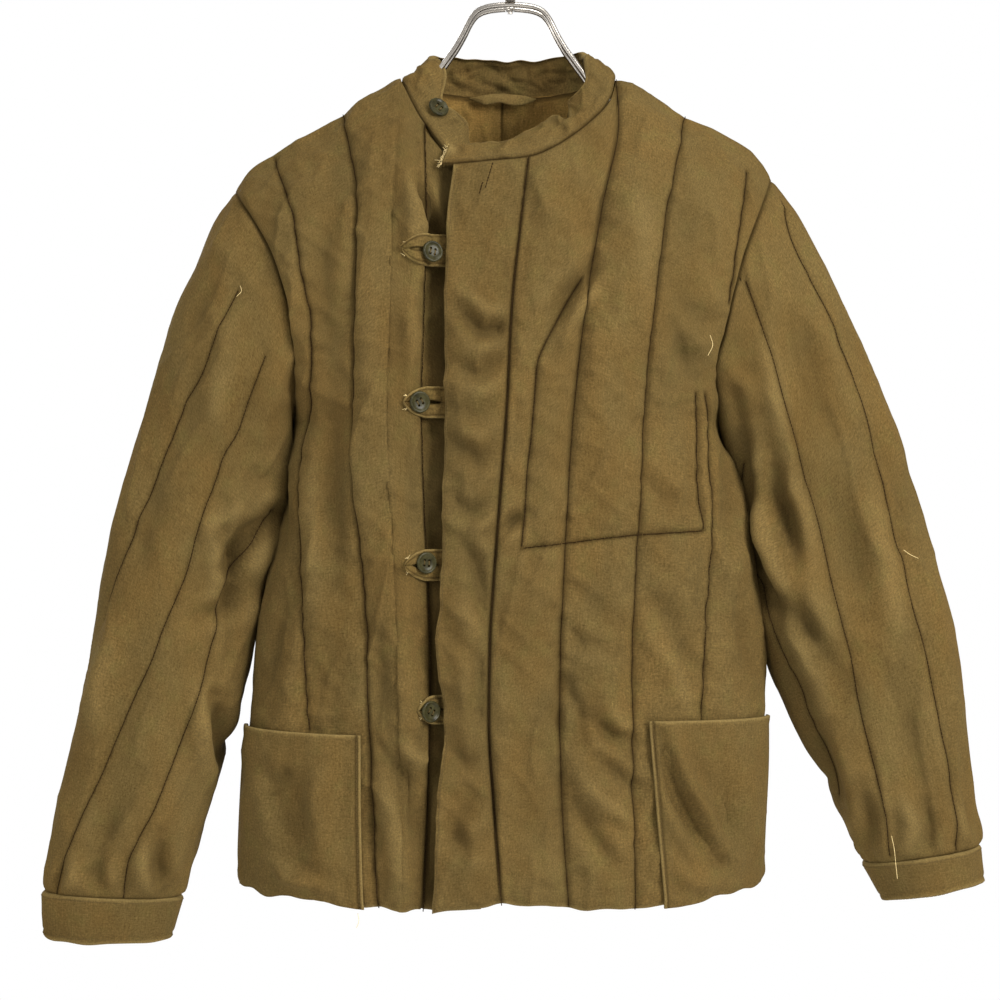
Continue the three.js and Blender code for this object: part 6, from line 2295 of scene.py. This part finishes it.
class JacketCloth(bpy.types.PropertyGroup):
    """The cloth's colours and how it is quilted and creased."""

    colour: colour_setting("Outer cotton", "Colour of the outer cloth", (0.0610, 0.0408, 0.0136))
    lining: colour_setting("Lining", "Colour of the lining", (0.118, 0.073, 0.021))
    # the pale colour of rubbed nap, also painted as a highlight on fold ridges
    worn: colour_setting("Rubbed edge", "Colour where the nap has worn away", (0.175, 0.125, 0.046))
    # the dark of each sewn line, also painted as shade down its valley
    line: colour_setting("Sewn line", "Colour down in the quilting", (0.010, 0.0055, 0.0015))
    spacing: length_setting("Mesh spacing", "Distance between the cloth's points", 0.0015, 0.02, 0.0024)
    valley: length_setting("Quilting depth", "How deep a sewn line lies", 0, 0.005, 0.0022)
    pucker: length_setting("Pucker", "Height of the small puckers beside a sewn line", 0, 0.004, 0.001)
    fold: length_setting("Fold", "Height of the soft folds", 0, 0.005, 0.0025)
    creases: FloatProperty(name="Creases", description="How strong the main creases are",
                           min=0, max=4, default=2.5)
    line_width: length_setting("Line width", "Half the width of the dark of a sewn line", 0.0002,
                       0.005, 0.0019)
    # how strong the painted shade in the placed folds' troughs and the painted highlight on their
    # ridges are
    painted_fold_shading: part_setting("Soil", "How dark the soil is that gathers in the folds", 0, 1, 0.35)


class JacketTrim(bpy.types.PropertyGroup):
    """Threads, buttons and metal."""

    quilting_thread: colour_setting("Quilting thread", "Colour of the quilting thread",
                            (0.014, 0.008, 0.003))
    edge_thread: colour_setting("Edge thread", "Colour of the topstitching", (0.06, 0.04, 0.015))
    loose_thread: colour_setting("Loose thread", "Colour of frayed threads", (0.42, 0.32, 0.15))
    button: colour_setting("Buttons", "Colour of the buttons", (0.0165, 0.0145, 0.0055))
    chrome: colour_setting("Chrome", "Colour of the metal", (0.36, 0.33, 0.29))
    chrome_rough: part_setting("Chrome roughness", "How dull the metal is", 0, 1, 0.16)
    stitch_pitch: length_setting("Stitch pitch", "Distance from one stitch to the next", 0.001, 0.02,
                         0.0034)
    stitch_part: part_setting("Stitch part", "Part of the pitch that shows as thread", 0.1, 1, 0.9)
    quilting_radius: length_setting("Quilting thread radius", "Half the quilting thread's thickness",
                            0.0001, 0.002, 0.00048)
    edge_radius: length_setting("Edge thread radius", "Half the topstitching's thickness", 0.0001,
                        0.002, 0.00028)


class JacketStage(bpy.types.PropertyGroup):
    """The studio's light and camera."""

    surround: FloatProperty(name="Surround", description="Brightness of the white studio",
                            min=0, max=5, default=1.0)
    key: power_setting("Key", "Power of the key lamp", 280)
    fill: power_setting("Fill", "Power of the fill lamp", 54)
    top: power_setting("Top", "Power of the lamp above the front", 48)
    rear: power_setting("Rear", "Power of the lamp behind", 42)
    lens: FloatProperty(name="Lens", description="Focal length in millimetres", min=10,
                        max=400, default=104.65)


class JACKET_OT_fronts(bpy.types.Operator):
    """Both quilted fronts and their bands."""

    bl_idname = "jacket.fronts"
    bl_label = "Fronts"

    def execute(self, context):
        make_fronts()
        return {"FINISHED"}


class JACKET_OT_back(bpy.types.Operator):
    """The quilted back."""

    bl_idname = "jacket.back"
    bl_label = "Back"

    def execute(self, context):
        make_back()
        return {"FINISHED"}


class JACKET_OT_sleeves(bpy.types.Operator):
    """Both sleeves and cuffs."""

    bl_idname = "jacket.sleeves"
    bl_label = "Sleeves"

    def execute(self, context):
        make_sleeves()
        return {"FINISHED"}


class JACKET_OT_collar(bpy.types.Operator):
    """The stand collar."""

    bl_idname = "jacket.collar"
    bl_label = "Collar"

    def execute(self, context):
        make_collar()
        return {"FINISHED"}


class JACKET_OT_lining(bpy.types.Operator):
    """The lining and hanging loop behind the neck."""

    bl_idname = "jacket.lining"
    bl_label = "Neck lining"

    def execute(self, context):
        make_neck_lining()
        return {"FINISHED"}


class JACKET_OT_pockets(bpy.types.Operator):
    """The two patch pockets."""

    bl_idname = "jacket.pockets"
    bl_label = "Pockets"

    def execute(self, context):
        make_pockets()
        return {"FINISHED"}


class JACKET_OT_loops(bpy.types.Operator):
    """The four pointed button loops."""

    bl_idname = "jacket.loops"
    bl_label = "Button loops"

    def execute(self, context):
        make_loops()
        return {"FINISHED"}


class JACKET_OT_buttons(bpy.types.Operator):
    """The five buttons and their thread."""

    bl_idname = "jacket.buttons"
    bl_label = "Buttons"

    def execute(self, context):
        make_buttons()
        return {"FINISHED"}


class JACKET_OT_hanger(bpy.types.Operator):
    """The chromed wire hanger."""

    bl_idname = "jacket.hanger"
    bl_label = "Hanger"

    def execute(self, context):
        make_hanger()
        return {"FINISHED"}


class JACKET_OT_threads(bpy.types.Operator):
    """The loose threads of a worn jacket."""

    bl_idname = "jacket.threads"
    bl_label = "Loose threads"

    def execute(self, context):
        make_stray_threads()
        return {"FINISHED"}


class JACKET_OT_stage(bpy.types.Operator):
    """The studio, its lamps and the camera."""

    bl_idname = "jacket.stage"
    bl_label = "Stage"

    def execute(self, context):
        make_stage()
        return {"FINISHED"}


OPERATORS = [
    JACKET_OT_fronts, JACKET_OT_back, JACKET_OT_sleeves, JACKET_OT_collar, JACKET_OT_lining,
    JACKET_OT_pockets, JACKET_OT_loops, JACKET_OT_buttons, JACKET_OT_hanger, JACKET_OT_threads,
    JACKET_OT_stage,
]


class JACKET_PT_panel(bpy.types.Panel):
    """Lists the jacket's pieces and settings."""

    bl_idname = "JACKET_PT_panel"
    bl_label = "Quilted Jacket"
    bl_space_type = "VIEW_3D"
    bl_region_type = "UI"
    bl_category = "Jacket"

    def draw(self, context):
        for group in ("jacket_cloth", "jacket_trim", "jacket_stage"):
            box = self.layout.box()
            settings = getattr(context.scene, group)
            for name in settings.__annotations__:
                box.prop(settings, name)
        for operator in OPERATORS:
            self.layout.operator(operator.bl_idname)


GROUPS = {"jacket_cloth": JacketCloth, "jacket_trim": JacketTrim, "jacket_stage": JacketStage}


def register():
    """Adds the settings, the operators and the panel."""
    for name, group in GROUPS.items():
        bpy.utils.register_class(group)
        setattr(bpy.types.Scene, name, PointerProperty(type=group))
    for cls in (*OPERATORS, JACKET_PT_panel):
        bpy.utils.register_class(cls)


def unregister():
    """Takes them away again."""
    for cls in (JACKET_PT_panel, *reversed(OPERATORS)):
        bpy.utils.unregister_class(cls)
    for name, group in reversed(GROUPS.items()):
        delattr(bpy.types.Scene, name)
        bpy.utils.unregister_class(group)


def main():
    """Makes every piece in order."""
    register()
    for operator in OPERATORS:
        getattr(bpy.ops.jacket, operator.bl_idname.split(".")[1])()


if __name__ == "__main__":
    main()
